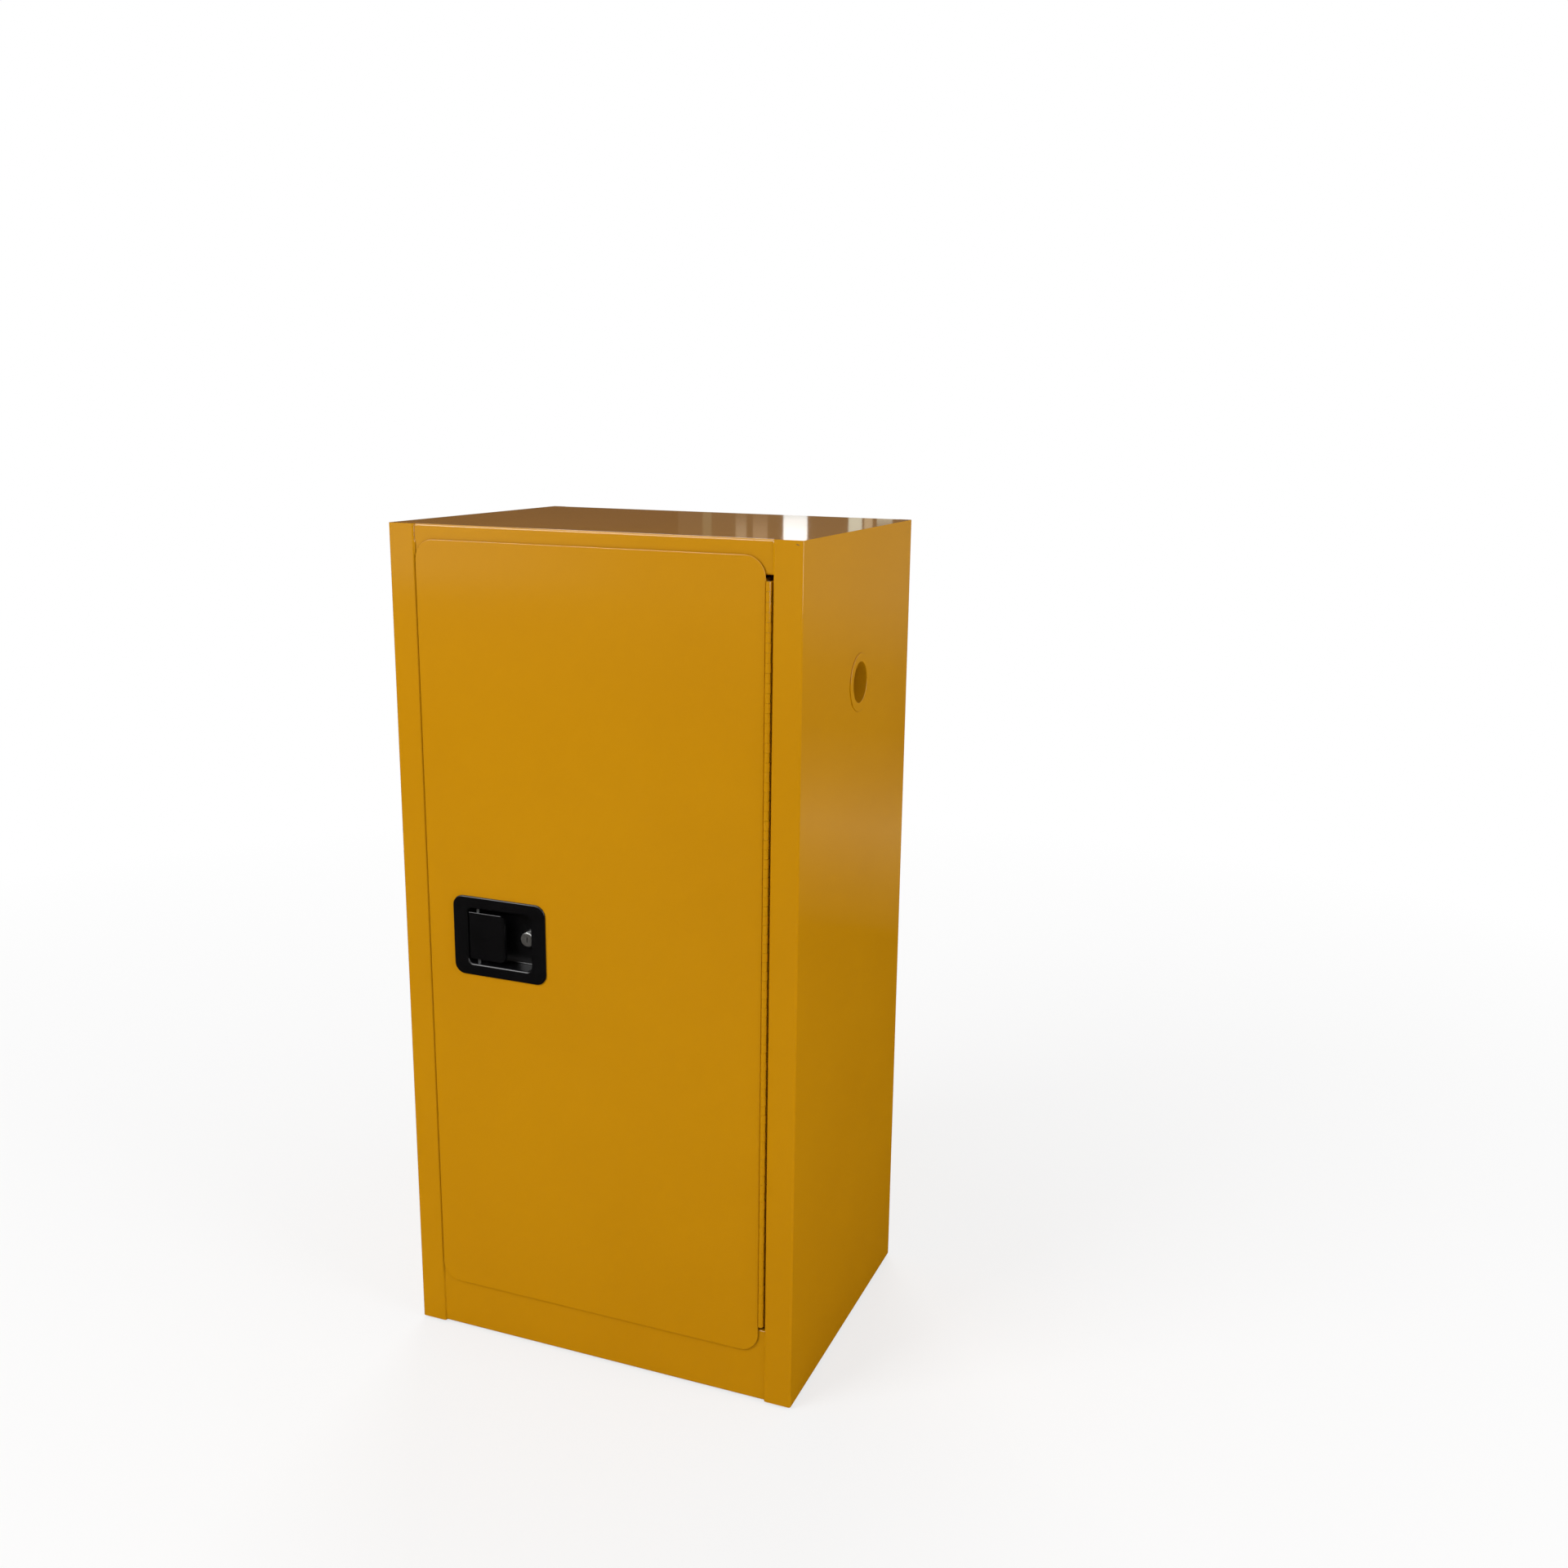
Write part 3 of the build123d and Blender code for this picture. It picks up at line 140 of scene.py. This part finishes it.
# Scuff at the top of the hinge-side stile: corners of its outline, X and Z, how far its outline
# lies under the coat and its middle over it, and the size of that middle
SCUFF_OUTLINE = (
    (0.2896, 1.1953), (0.2903, 1.1946), (0.2917, 1.1943), (0.2931, 1.1939), (0.2944, 1.1936),
    (0.2946, 1.1942), (0.2934, 1.1949), (0.2920, 1.1954), (0.2905, 1.1957),
)
SCUFF_RELIEF = 0.06 * MM
SCUFF_MIDDLE = 0.8

# Camera of the photograph, with its angles in degrees and its lens and sensor in millimetres
CAMERA_AT = (0.9709, -2.0024, 1.3490)
CAMERA_AZIMUTH = 21.27
CAMERA_ELEVATION = 13.389
CAMERA_ROLL = 0.787
CAMERA_LENS = 35.67
CAMERA_SENSOR = 36.0

# World and floor: light of the world, grey of the floor, and how white the floor looks from the
# nearer of two distances to the farther
WHITE = (1.0, 1.0, 1.0, 1.0)
SKY = 0.42
FLOOR_GREY = (0.8, 0.8, 0.8, 1.0)
FLOOR_WHITE = (0.7, 1.0)
FLOOR_FADE = (0.6, 3.0)
FLOOR_HALF = 12.0

# Softboxes: place, aim, size and watts
KEY_BOX = ((-1.9, -3.0, 3.0), (0, 0, 0.9), (2.2, 2.0), 108)
FILL_BOX = ((3.4, -0.6, 1.75), (0, 0, 0.8), (2.0, 2.2), 57)
BACK_BOX = ((-1.3, 3.4, 3.1), (0, 0, 0.7), (2.2, 1.4), 66)

# Cards for reflections: where they stand
CARD_LEFT = -7.0
CARD_RIGHT = 5.0
CARD_FRONT = -9.0
CARD_BACK = 2.6
RIGHT_BACK_Y = 1.8
RIGHT_BACK_LEFT = 0.4
BACK_SPLIT = -1.2
BACK_END = 2.0
STRIP_Y = 2.58
FLOOR_CARD_Z = 0.004
FRONT_CARD_TOP = 3.2

# Their tones: on the floor by Y, in front by X, on the others by height
FLOOR_TONES = ((CARD_FRONT, "6E665A"), (-4.0, "342A1E"), (-1.6, "140F08"), (CARD_BACK, "140F08"))
FRONT_TONES = ((CARD_LEFT, "D0CCC4"), (-5.6, "B8B4AC"), (-4.2, "78706A"), (CARD_RIGHT, "605848"))
LEFT_TONES = ((0.0, "342A1E"), (3.0, "6A6254"))
RIGHT_TONES = ((0.0, "2A2014"), (2.6, "4A4030"))
RIGHT_BACK_TONES = (
    (0.0, "3A2E1C"), (0.12, "6A5A42"), (0.28, "96866C"), (0.42, "6E5E48"),
    (0.55, "4A3C2A"), (0.7, "5A4A36"), (0.9, "8A7A66"), (2.6, "8A7A66"))
LEFT_BACK_TONES = ((0.0, "4C3A3C"), (2.6, "4C3A3C"))
BACK_TONES = ((0.0, "5C4C48"), (2.6, "5C4C48"))

# Pale strips: X of both edges, and tones by height
STRIPS = (
    (-1.104, -1.073, ((1.2, "746A5C"), (1.9, "746A5C"))),
    (-0.989, -0.952, ((1.38, "5C4C48"), (1.4, "A0907E"), (1.9, "A0907E"))),
    (-0.930, -0.880, ((1.38, "5C4C48"), (1.4, "9A8674"), (1.9, "9A8674"))),
    (-0.612, -0.568, ((1.3, "D0D4C4"), (1.9, "E0E2DA"))),
    (-0.561, -0.534, ((1.3, "B4A48C"), (1.9, "B4A48C"))),
    (-0.520, -0.470, ((1.3, "C8CCBC"), (1.37, "C8CCBC"), (1.38, "5C4C48"))),
)
WHITE_STRIP = (-0.827, -0.747)
WHITE_STRIP_TONES = ((1.3, "98A8AC"), (1.37, "A8B8BC"), (1.385, "FFFFFF"), (1.9, "FFFFFF"))
WHITE_STRIP_GLOW = 1.7


def linear(code):
    """Linear RGBA of an sRGB hex colour."""
    parts = [int(code[i:i + 2], 16) / 255 for i in (0, 2, 4)]
    return [c / 12.92 if c <= 0.04045 else ((c + 0.055) / 1.055) ** 2.4 for c in parts] + [1.0]


def add(tree, kind, inputs=(), **settings):
    """Adds a node with its settings; an input is a value, or a socket to link. Of a colour Mix,
    input 0 is the share, 6 and 7 are the two colours, and output 2 is what comes of them."""
    node = tree.nodes.new("ShaderNode" + kind)
    for name, value in settings.items():
        setattr(node, name, value)
    for name, value in dict(inputs).items():
        if isinstance(value, bpy.types.NodeSocket):
            tree.links.new(value, node.inputs[name])
        else:
            node.inputs[name].default_value = value
    return node


def new_finish(name):
    """An empty material and its node tree."""
    finish = bpy.data.materials.new(name)
    finish.use_nodes = True
    finish.node_tree.nodes.clear()
    return finish, finish.node_tree


def powder_coat():
    """Polyester powder coat stoved on sheet steel: a deep yellow with a clear gloss. The eye sees
    a faint orange peel, and reflections that waver with the thin sheet."""
    finish, tree = new_finish("powder_coated_steel")
    place = add(tree, "TexCoord").outputs["Object"]
    peel = add(tree, "TexNoise", {"Vector": place, "Scale": 1 / PEEL, "Detail": 0.0})
    sheet = add(tree, "TexNoise", {"Vector": place, "Scale": 1 / SHEET_WAVE, "Detail": 1.0})
    cloud = add(tree, "TexNoise", {"Vector": place, "Scale": 1 / COAT_CLOUD, "Detail": 3.0})
    thin = add(tree, "MapRange", {
        "Value": cloud.outputs["Fac"], "From Min": 0.3, "From Max": 0.7})
    tint = add(tree, "Mix", {
        0: thin.outputs["Result"], 6: linear(YELLOW), 7: linear(YELLOW_THIN)}, data_type="RGBA")
    rough = add(tree, "MapRange", {
        "Value": cloud.outputs["Fac"], "To Min": YELLOW_ROUGH[0], "To Max": YELLOW_ROUGH[1]})
    wave = add(tree, "Bump", {"Height": sheet.outputs["Fac"], "Distance": SHEET_WAVE_DEPTH})
    bump = add(tree, "Bump", {
        "Height": peel.outputs["Fac"], "Distance": PEEL_DEPTH, "Normal": wave.outputs["Normal"]})
    coat = add(tree, "BsdfPrincipled", {
        "Base Color": tint.outputs[2], "Roughness": rough.outputs["Result"],
        "IOR": COAT_IOR, "Normal": bump.outputs["Normal"]})
    add(tree, "OutputMaterial", {"Surface": coat.outputs[0]})
    return finish


def black_enamel():
    """Black stove enamel on a pressing: almost no colour, a soft gloss and slightly rubbed
    faces."""
    finish, tree = new_finish("black_enamel")
    place = add(tree, "TexCoord").outputs["Object"]
    grain = add(tree, "TexNoise", {"Vector": place, "Scale": 1 / ENAMEL_GRAIN, "Detail": 2.0})
    rub = add(tree, "TexNoise", {"Vector": place, "Scale": 1 / ENAMEL_RUB, "Detail": 3.0})
    tint = add(tree, "Mix", {
        0: rub.outputs["Fac"], 6: linear(BLACK), 7: linear(BLACK_RUBBED)}, data_type="RGBA")
    rough = add(tree, "MapRange", {
        "Value": rub.outputs["Fac"], "To Min": BLACK_ROUGH[0], "To Max": BLACK_ROUGH[1]})
    bump = add(tree, "Bump", {"Height": grain.outputs["Fac"], "Distance": ENAMEL_GRAIN_DEPTH})
    enamel = add(tree, "BsdfPrincipled", {
        "Base Color": tint.outputs[2], "Roughness": rough.outputs["Result"],
        "IOR": COAT_IOR, "Normal": bump.outputs["Normal"]})
    add(tree, "OutputMaterial", {"Surface": enamel.outputs[0]})
    return finish


def nickel_plate():
    """Satin nickel on the turned lock: pale grey, with a soft sheen and fine handling marks."""
    finish, tree = new_finish("satin_nickel_plate")
    place = add(tree, "TexCoord").outputs["Object"]
    haze = add(tree, "TexNoise", {"Vector": place, "Scale": 1 / NICKEL_HAZE, "Detail": 4.0})
    rough = add(tree, "MapRange", {
        "Value": haze.outputs["Fac"], "To Min": NICKEL_ROUGH[0], "To Max": NICKEL_ROUGH[1]})
    plate = add(tree, "BsdfPrincipled", {
        "Base Color": linear(NICKEL), "Metallic": 1.0, "Roughness": rough.outputs["Result"]})
    add(tree, "OutputMaterial", {"Surface": plate.outputs[0]})
    return finish


def galvanised_sheet():
    """Hot-dip galvanised sheet: grey crystals about 12 mm across, each with its own sheen."""
    finish, tree = new_finish("galvanised_sheet")
    place = add(tree, "TexCoord").outputs["Object"]
    crystal = add(tree, "TexVoronoi", {"Vector": place, "Scale": 1 / SPANGLE})
    shade = add(tree, "SeparateColor", {"Color": crystal.outputs["Color"]})
    tint = add(tree, "Mix", {
        0: shade.outputs["Red"], 6: linear(SPANGLE_DARK), 7: linear(SPANGLE_LIGHT)},
        data_type="RGBA")
    rough = add(tree, "MapRange", {
        "Value": shade.outputs["Green"], "To Min": SPANGLE_ROUGH[0], "To Max": SPANGLE_ROUGH[1]})
    zinc = add(tree, "BsdfPrincipled", {
        "Base Color": tint.outputs[2], "Metallic": 1.0, "Roughness": rough.outputs["Result"]})
    add(tree, "OutputMaterial", {"Surface": zinc.outputs[0]})
    return finish


def zinc_plate():
    """Bright zinc on small steel pieces: pale grey with duller clouds."""
    finish, tree = new_finish("zinc_plated_steel")
    place = add(tree, "TexCoord").outputs["Object"]
    cloud = add(tree, "TexNoise", {"Vector": place, "Scale": 1 / ZINC_CLOUD, "Detail": 4.0})
    dull = add(tree, "MapRange", {
        "Value": cloud.outputs["Fac"], "From Min": 0.35, "From Max": 0.75})
    tint = add(tree, "Mix", {
        0: dull.outputs["Result"], 6: linear(ZINC), 7: linear(ZINC_DULL)}, data_type="RGBA")
    rough = add(tree, "MapRange", {
        "Value": cloud.outputs["Fac"], "To Min": ZINC_ROUGH[0], "To Max": ZINC_ROUGH[1]})
    plate = add(tree, "BsdfPrincipled", {
        "Base Color": tint.outputs[2], "Metallic": 1.0, "Roughness": rough.outputs["Result"]})
    add(tree, "OutputMaterial", {"Surface": plate.outputs[0]})
    return finish


def scuffed_coat():
    """Coat rubbed through to the primer: a dull brown fleck."""
    finish, tree = new_finish("scuffed_coat")
    fleck = add(tree, "BsdfPrincipled", {
        "Base Color": linear(SCUFF), "Roughness": SCUFF_ROUGH, "IOR": COAT_IOR})
    add(tree, "OutputMaterial", {"Surface": fleck.outputs[0]})
    return finish


def walls(rows, steps):
    """Faces between rings of points, with both ends closed."""
    faces = []
    for row in range(rows - 1):
        for i in range(steps):
            j = (i + 1) % steps
            near, far = row * steps, (row + 1) * steps
            faces.append((near + i, near + j, far + j, far + i))
    faces.append(tuple(reversed(range(steps))))
    faces.append(tuple(range((rows - 1) * steps, rows * steps)))
    return faces


def turned(profile, place, steps):
    """A profile of (radius, height) pairs turned about the Z axis of a place."""
    ring = [i * tau / steps for i in range(steps)]
    points = [place @ Vector((r * cos(a), r * sin(a), z)) for r, z in profile for a in ring]
    return points, walls(len(profile), steps)


def threaded(radius, depth, pitch, low, high, place):
    """A screw thread about the Z axis of a place, between two heights."""
    rows = round((high - low) / pitch * THREAD_RINGS) + 1
    points = []
    for row in range(rows):
        z = low + (high - low) * row / (rows - 1)
        for i in range(THREAD_STEPS):
            phase = (z / pitch - i / THREAD_STEPS) % 1
            r = radius - depth * abs(2 * phase - 1)
            a = i * tau / THREAD_STEPS
            points.append(place @ Vector((r * cos(a), r * sin(a), z)))
    return points, walls(rows, THREAD_STEPS)


def round_wire(path, radius):
    """Round wire along a path."""
    points = []
    across = None
    for i, here in enumerate(path):
        ahead = (path[min(i + 1, len(path) - 1)] - path[max(i - 1, 0)]).normalized()
        across = ahead.orthogonal() if across is None else across - ahead * across.dot(ahead)
        across.normalize()
        beside = ahead.cross(across)
        for k in range(WIRE_SIDES):
            a = k * tau / WIRE_SIDES
            points.append(here + radius * (cos(a) * across + sin(a) * beside))
    return points, walls(len(path), WIRE_SIDES)


def piece(name, shapes, finish, body, *nodes):
    """One mesh of several shapes, which rides a body and stands for the CAD nodes named."""
    points, faces = [], []
    for more, sides in shapes:
        start = len(points)
        points += more
        faces += [[start + corner for corner in side] for side in sides]
    mesh = bpy.data.meshes.new(name)
    mesh.from_pydata(points, [], faces)
    mesh.materials.append(finish)
    mesh.shade_smooth()
    mesh.set_sharp_from_angle(angle=radians(SHARP_EDGE))
    thing = bpy.data.objects.new(name, mesh)
    bpy.context.scene.collection.objects.link(thing)
    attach(thing, body)
    if nodes:
        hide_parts(*nodes)


def hinge_rivets(node, body, facing, finish):
    """Domed rivets of one hinge leaf; their heads face +X or -X."""
    low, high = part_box(node)
    seat = high.x - RIVET_HEAD if facing > 0 else low.x + RIVET_HEAD
    shank = high.x - low.x - RIVET_HEAD
    profile = [(RIVET_R, -shank), (RIVET_R, 0.0), (RIVET_HEAD_R, 0.0)]
    for degrees in RIVET_DOME:
        a = radians(degrees)
        profile.append((RIVET_HEAD_R * cos(a), RIVET_HEAD * sin(a)))
    turn = Matrix.Rotation(facing * radians(90), 4, "Y")
    first = low.z + RIVET_HEAD_R
    pitch = (high.z - low.z - 2 * RIVET_HEAD_R) / (RIVETS - 1)
    shapes = []
    for i in range(RIVETS):
        place = Matrix.Translation((seat, (low.y + high.y) / 2, first + i * pitch)) @ turn
        shapes.append(turned(profile, place, RIVET_STEPS))
    piece("domed_" + node, shapes, finish, body, node)


def paddle_spring(finish):
    """Close-wound torsion spring on the paddle pin, with a leg to the floor of the well."""
    low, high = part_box("paddle_spring")
    outer = (high.x - low.x) / 2
    middle = Vector(((low.x + high.x) / 2, low.y + outer, 0))
    coil = outer - SPRING_WIRE / 2
    foot = low.z + SPRING_WIRE / 2
    head = high.z - SPRING_WIRE / 2
    leg_x = middle.x + coil
    path = [Vector((leg_x, high.y, foot)), Vector((leg_x, middle.y + coil, foot))]
    count = SPRING_TURNS * SPRING_STEPS
    for i in range(count + 1):
        a = -i * tau / SPRING_STEPS
        z = foot + (head - foot) * i / count
        path.append(middle + Vector((coil * cos(a), coil * sin(a), z)))
    wire = round_wire(path, SPRING_WIRE / 2)
    piece("wound_paddle_spring", [wire], finish, "door", "paddle_spring")


def levelling_foot(node, finish):
    """Round pad on a threaded stud."""
    low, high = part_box(node)
    place = Matrix.Translation(((low.x + high.x) / 2, (low.y + high.y) / 2, low.z))
    pad_r = (high.x - low.x) / 2
    pad = turned([
        (pad_r - FOOT_EDGE, 0.0), (pad_r, FOOT_EDGE), (pad_r, FOOT_PAD - FOOT_CHAMFER),
        (pad_r - FOOT_CHAMFER, FOOT_PAD)], place, FOOT_STEPS)
    stud = threaded(FOOT_STUD_R, FOOT_THREAD, FOOT_PITCH, FOOT_PAD / 2, high.z - low.z, place)
    piece("threaded_" + node, [pad, stud], finish, node, node)


def earth_stud(finish):
    """Earth connection: a plain shank through the panel and a threaded end."""
    low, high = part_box("earth_stud")
    turn = Matrix.Rotation(radians(-90), 4, "Y")
    place = Matrix.Translation((high.x, (low.y + high.y) / 2, (low.z + high.z) / 2)) @ turn
    shank_r = (high.z - low.z) / 2
    shank = turned([(shank_r, 0.0), (shank_r, EARTH_SHANK)], place, EARTH_SHANK_STEPS)
    end = threaded(
        EARTH_STUD_R, EARTH_THREAD, EARTH_PITCH, EARTH_SHANK / 2, high.x - low.x, place)
    piece("threaded_earth_stud", [shank, end], finish, "cabinet", "earth_stud")


def seam_coat(name, corner, inward, stretches, finish):
    """Coat that bridges the groove between the end of a sheet and the fold of a stile, and sinks
    into the groove at both ends of each stretch. The corner is the X of the stile's edge, and
    the Y of the sheet's face and of the stile's."""
    edge, sheet_y, stile_y = corner
    on_sheet = Vector((edge + inward * SEAM_COAT_LAP, sheet_y - SEAM_COAT_PROUD))
    a = radians(SEAM_COAT_ANGLE)
    outward = Vector((inward * sin(a), -cos(a)))
    fold = Vector((edge - inward * STILE_FOLD, stile_y + STILE_FOLD))
    on_fold = fold + (STILE_FOLD + SEAM_COAT_PROUD) * outward
    middle = (on_sheet + on_fold) / 2 + Vector((0, SEAM_COAT_SAG))
    back = Vector((0, SEAM_COAT_DEPTH))
    section = [on_sheet + back, on_sheet, middle, on_fold, on_fold + back]
    if inward > 0:
        section.reverse()
    rise = [i / SEAM_COAT_STEPS for i in range(SEAM_COAT_STEPS + 1)]
    shapes = []
    for low, high in stretches:
        rows = [(low + t * SEAM_COAT_TAPER, SEAM_COAT_SINK * (1 - t) ** 2) for t in rise]
        rows += [(low + high - z, sunk) for z, sunk in reversed(rows)]
        points = [Vector((x, y + sunk, z)) for z, sunk in rows for x, y in section]
        shapes.append((points, walls(len(rows), len(section))))
    piece(name, shapes, finish, "cabinet")


def corner_scuff():
    """Fleck at the top of the hinge-side stile, where the coat has been knocked."""
    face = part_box("right_side_panel")[0].y
    count = len(SCUFF_OUTLINE)
    outer = [Vector((x, face + SCUFF_RELIEF, z)) for x, z in SCUFF_OUTLINE]
    middle = sum(outer, Vector()) / count
    lift = Vector((0, 2 * SCUFF_RELIEF, 0))
    inner = [middle.lerp(corner, SCUFF_MIDDLE) - lift for corner in outer]
    piece("corner_scuff", [(outer + inner, walls(2, count))], scuffed_coat(), "cabinet")


def dress():
    """Gives every CAD node the finish of its slot, and adds the finer pieces."""
    finishes = {
        "yellow_powder_coat": powder_coat(),
        "galvanised_steel": galvanised_sheet(),
        "zinc_plated_steel": zinc_plate(),
        "black_enamel": black_enamel(),
        "chrome_plate": nickel_plate(),
    }
    for name, node in NODES.items():
        node.data.materials.clear()
        node.data.materials.append(finishes[SLOT_OF[name]])
    zinc = finishes["zinc_plated_steel"]
    hinge_rivets("hinge_door_rivets", "door", 1, zinc)
    hinge_rivets("hinge_frame_rivets", "cabinet", -1, zinc)
    paddle_spring(zinc)
    for name in ("front_left_foot", "front_right_foot", "rear_left_foot", "rear_right_foot"):
        levelling_foot(name, zinc)
    earth_stud(zinc)
    coat = finishes["yellow_powder_coat"]
    header_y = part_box("top_panel")[0].y
    sill_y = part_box("front_sill")[0].y
    stile_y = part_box("left_side_panel")[0].y
    latch_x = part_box("left_side_panel")[1].x
    hinge_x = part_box("right_side_panel")[0].x
    for name, x, sheet_y, inward, stretches in (
        ("latch_header_coat", latch_x, header_y, 1, LATCH_HEADER_COAT),
        ("hinge_header_coat", hinge_x, header_y, -1, HINGE_HEADER_COAT),
        ("latch_sill_coat", latch_x, sill_y, 1, LATCH_SILL_COAT),
        ("hinge_sill_coat", hinge_x, sill_y, -1, HINGE_SILL_COAT),
    ):
        seam_coat(name, (x, sheet_y, stile_y), inward, stretches, coat)
    corner_scuff()


def seen_directly(tree):
    """1 for rays from the camera, reflections and glass, 0 for the light that falls on things."""
    ray = add(tree, "LightPath").outputs
    either = {0: ray["Is Camera Ray"], 1: ray["Is Glossy Ray"]}
    seen = add(tree, "Math", either, operation="MAXIMUM")
    both = {0: seen.outputs[0], 1: ray["Is Transmission Ray"]}
    return add(tree, "Math", both, operation="MAXIMUM").outputs[0]


def stage_mesh(name, points, faces, finish):
    """A mesh of the studio, which is no part of the cabinet."""
    mesh = bpy.data.meshes.new(name)
    mesh.from_pydata(points, [], faces)
    mesh.materials.append(finish)
    thing = bpy.data.objects.new(name, mesh)
    bpy.context.scene.collection.objects.link(thing)
    return thing


def studio_floor():
    """Pale floor that runs out to white and keeps the shadow of the cabinet."""
    finish, tree = new_finish("studio_floor")
    place = add(tree, "TexCoord").outputs["Object"]
    away = add(tree, "VectorMath", {0: place}, operation="LENGTH")
    fade = add(tree, "MapRange", {
        "Value": away.outputs["Value"], "From Min": FLOOR_FADE[0], "From Max": FLOOR_FADE[1],
        "To Min": FLOOR_WHITE[0], "To Max": FLOOR_WHITE[1]})
    both = {0: seen_directly(tree), 1: fade.outputs["Result"]}
    share = add(tree, "Math", both, operation="MULTIPLY")
    matt = add(tree, "BsdfDiffuse", {"Color": FLOOR_GREY})
    white = add(tree, "Emission", {"Color": WHITE, "Strength": 1.0})
    shader = add(tree, "MixShader", {
        0: share.outputs[0], 1: matt.outputs[0], 2: white.outputs[0]})
    add(tree, "OutputMaterial", {"Surface": shader.outputs[0]})
    half = FLOOR_HALF
    corners = [(-half, -half, 0), (half, -half, 0), (half, half, 0), (-half, half, 0)]
    stage_mesh("studio_floor", corners, [(0, 1, 2, 3)], finish)


def studio_world():
    """White to look at, and a plain soft level for the light that falls on things."""
    world = bpy.data.worlds.new("studio")
    bpy.context.scene.world = world
    world.use_nodes = True
    tree = world.node_tree
    tree.nodes.clear()
    level = add(tree, "MapRange", {"Value": seen_directly(tree), "To Min": SKY, "To Max": 1.0})
    sky = add(tree, "Background", {"Color": WHITE, "Strength": level.outputs["Result"]})
    add(tree, "OutputWorld", {"Surface": sky.outputs[0]})


def studio_card(name, rows, strength=1.0):
    """A card that only reflections see. Each row has two end points and a colour; the colour
    blends from row to row."""
    finish, tree = new_finish(name)
    paint = add(tree, "Attribute", attribute_name="card_colour")
    glow = add(tree, "Emission", {"Color": paint.outputs["Color"], "Strength": strength})
    add(tree, "OutputMaterial", {"Surface": glow.outputs[0]})
    points = [point for left, right, _ in rows for point in (left, right)]
    faces = [(2 * i, 2 * i + 1, 2 * i + 3, 2 * i + 2) for i in range(len(rows) - 1)]
    card = stage_mesh(name, points, faces, finish)
    layer = card.data.color_attributes.new("card_colour", "FLOAT_COLOR", "POINT")
    for i, (_, _, colour) in enumerate(rows):
        layer.data[2 * i].color = layer.data[2 * i + 1].color = linear(colour)
    card.visible_camera = False
    card.visible_diffuse = False
    card.visible_transmission = False
    card.visible_shadow = False


def standing_card(name, left, right, tones, strength=1.0):
    """A card that stands between two points of the floor, with its tones by height."""
    studio_card(name, [((*left, z), (*right, z), colour) for z, colour in tones], strength)


def studio_cards():
    """Cards that only the gloss shows: a dark one on the floor, graded ones all round, and pale
    strips behind, which lie in the top sheet."""
    studio_card("floor_card", [
        ((CARD_LEFT, y, FLOOR_CARD_Z), (CARD_RIGHT, y, FLOOR_CARD_Z), colour)
        for y, colour in FLOOR_TONES])
    standing_card("left_card", (CARD_LEFT, CARD_FRONT), (CARD_LEFT, CARD_BACK), LEFT_TONES)
    studio_card("front_card", [
        ((x, CARD_FRONT, 0), (x, CARD_FRONT, FRONT_CARD_TOP), colour)
        for x, colour in FRONT_TONES])
    for name, left, right, tones in (
        ("right_card", (CARD_RIGHT, CARD_FRONT), (CARD_RIGHT, RIGHT_BACK_Y), RIGHT_TONES),
        ("right_back_card",
         (RIGHT_BACK_LEFT, RIGHT_BACK_Y), (CARD_RIGHT, RIGHT_BACK_Y), RIGHT_BACK_TONES),
        ("left_back_card", (CARD_LEFT, CARD_BACK), (BACK_SPLIT, CARD_BACK), LEFT_BACK_TONES),
        ("back_card", (BACK_SPLIT, CARD_BACK), (BACK_END, CARD_BACK), BACK_TONES),
    ):
        standing_card(name, left, right, tones)
    for i, (left, right, tones) in enumerate(STRIPS, 1):
        standing_card(f"strip_card_{i}", (left, STRIP_Y), (right, STRIP_Y), tones)
    left, right = WHITE_STRIP
    standing_card("white_strip_card", (left, STRIP_Y), (right, STRIP_Y), WHITE_STRIP_TONES,
                  WHITE_STRIP_GLOW)


def softbox(name, at, aim, size, watts):
    """A soft lamp at a place, turned to a point of the cabinet."""
    light = bpy.data.lights.new(name, "AREA")
    light.shape = "RECTANGLE"
    light.size, light.size_y = size
    light.energy = watts
    lamp = bpy.data.objects.new(name, light)
    lamp.location = at
    lamp.rotation_euler = (Vector(aim) - Vector(at)).to_track_quat("-Z", "Y").to_euler()
    bpy.context.scene.collection.objects.link(lamp)


def photo_camera():
    """Camera where the photograph was taken from, with its slight roll."""
    azimuth = radians(CAMERA_AZIMUTH)
    elevation = radians(CAMERA_ELEVATION)
    roll = radians(CAMERA_ROLL)
    level = cos(elevation)
    ahead = Vector((-sin(azimuth) * level, cos(azimuth) * level, -sin(elevation)))
    right = ahead.cross(Vector((0, 0, 1))).normalized()
    up = right.cross(ahead)
    right, up = cos(roll) * right + sin(roll) * up, cos(roll) * up - sin(roll) * right
    camera = bpy.data.cameras.new("photo_camera")
    camera.lens = CAMERA_LENS
    camera.sensor_width = CAMERA_SENSOR
    view = bpy.data.objects.new("photo_camera", camera)
    turn = Matrix((right, up, -ahead)).transposed().to_4x4()
    view.matrix_world = Matrix.Translation(CAMERA_AT) @ turn
    bpy.context.scene.collection.objects.link(view)
    bpy.context.scene.camera = view


dress()
studio_world()
studio_floor()
studio_cards()
softbox("key", *KEY_BOX)
softbox("fill", *FILL_BOX)
softbox("back", *BACK_BOX)
photo_camera()
bpy.context.scene.view_settings.view_transform = "Standard"
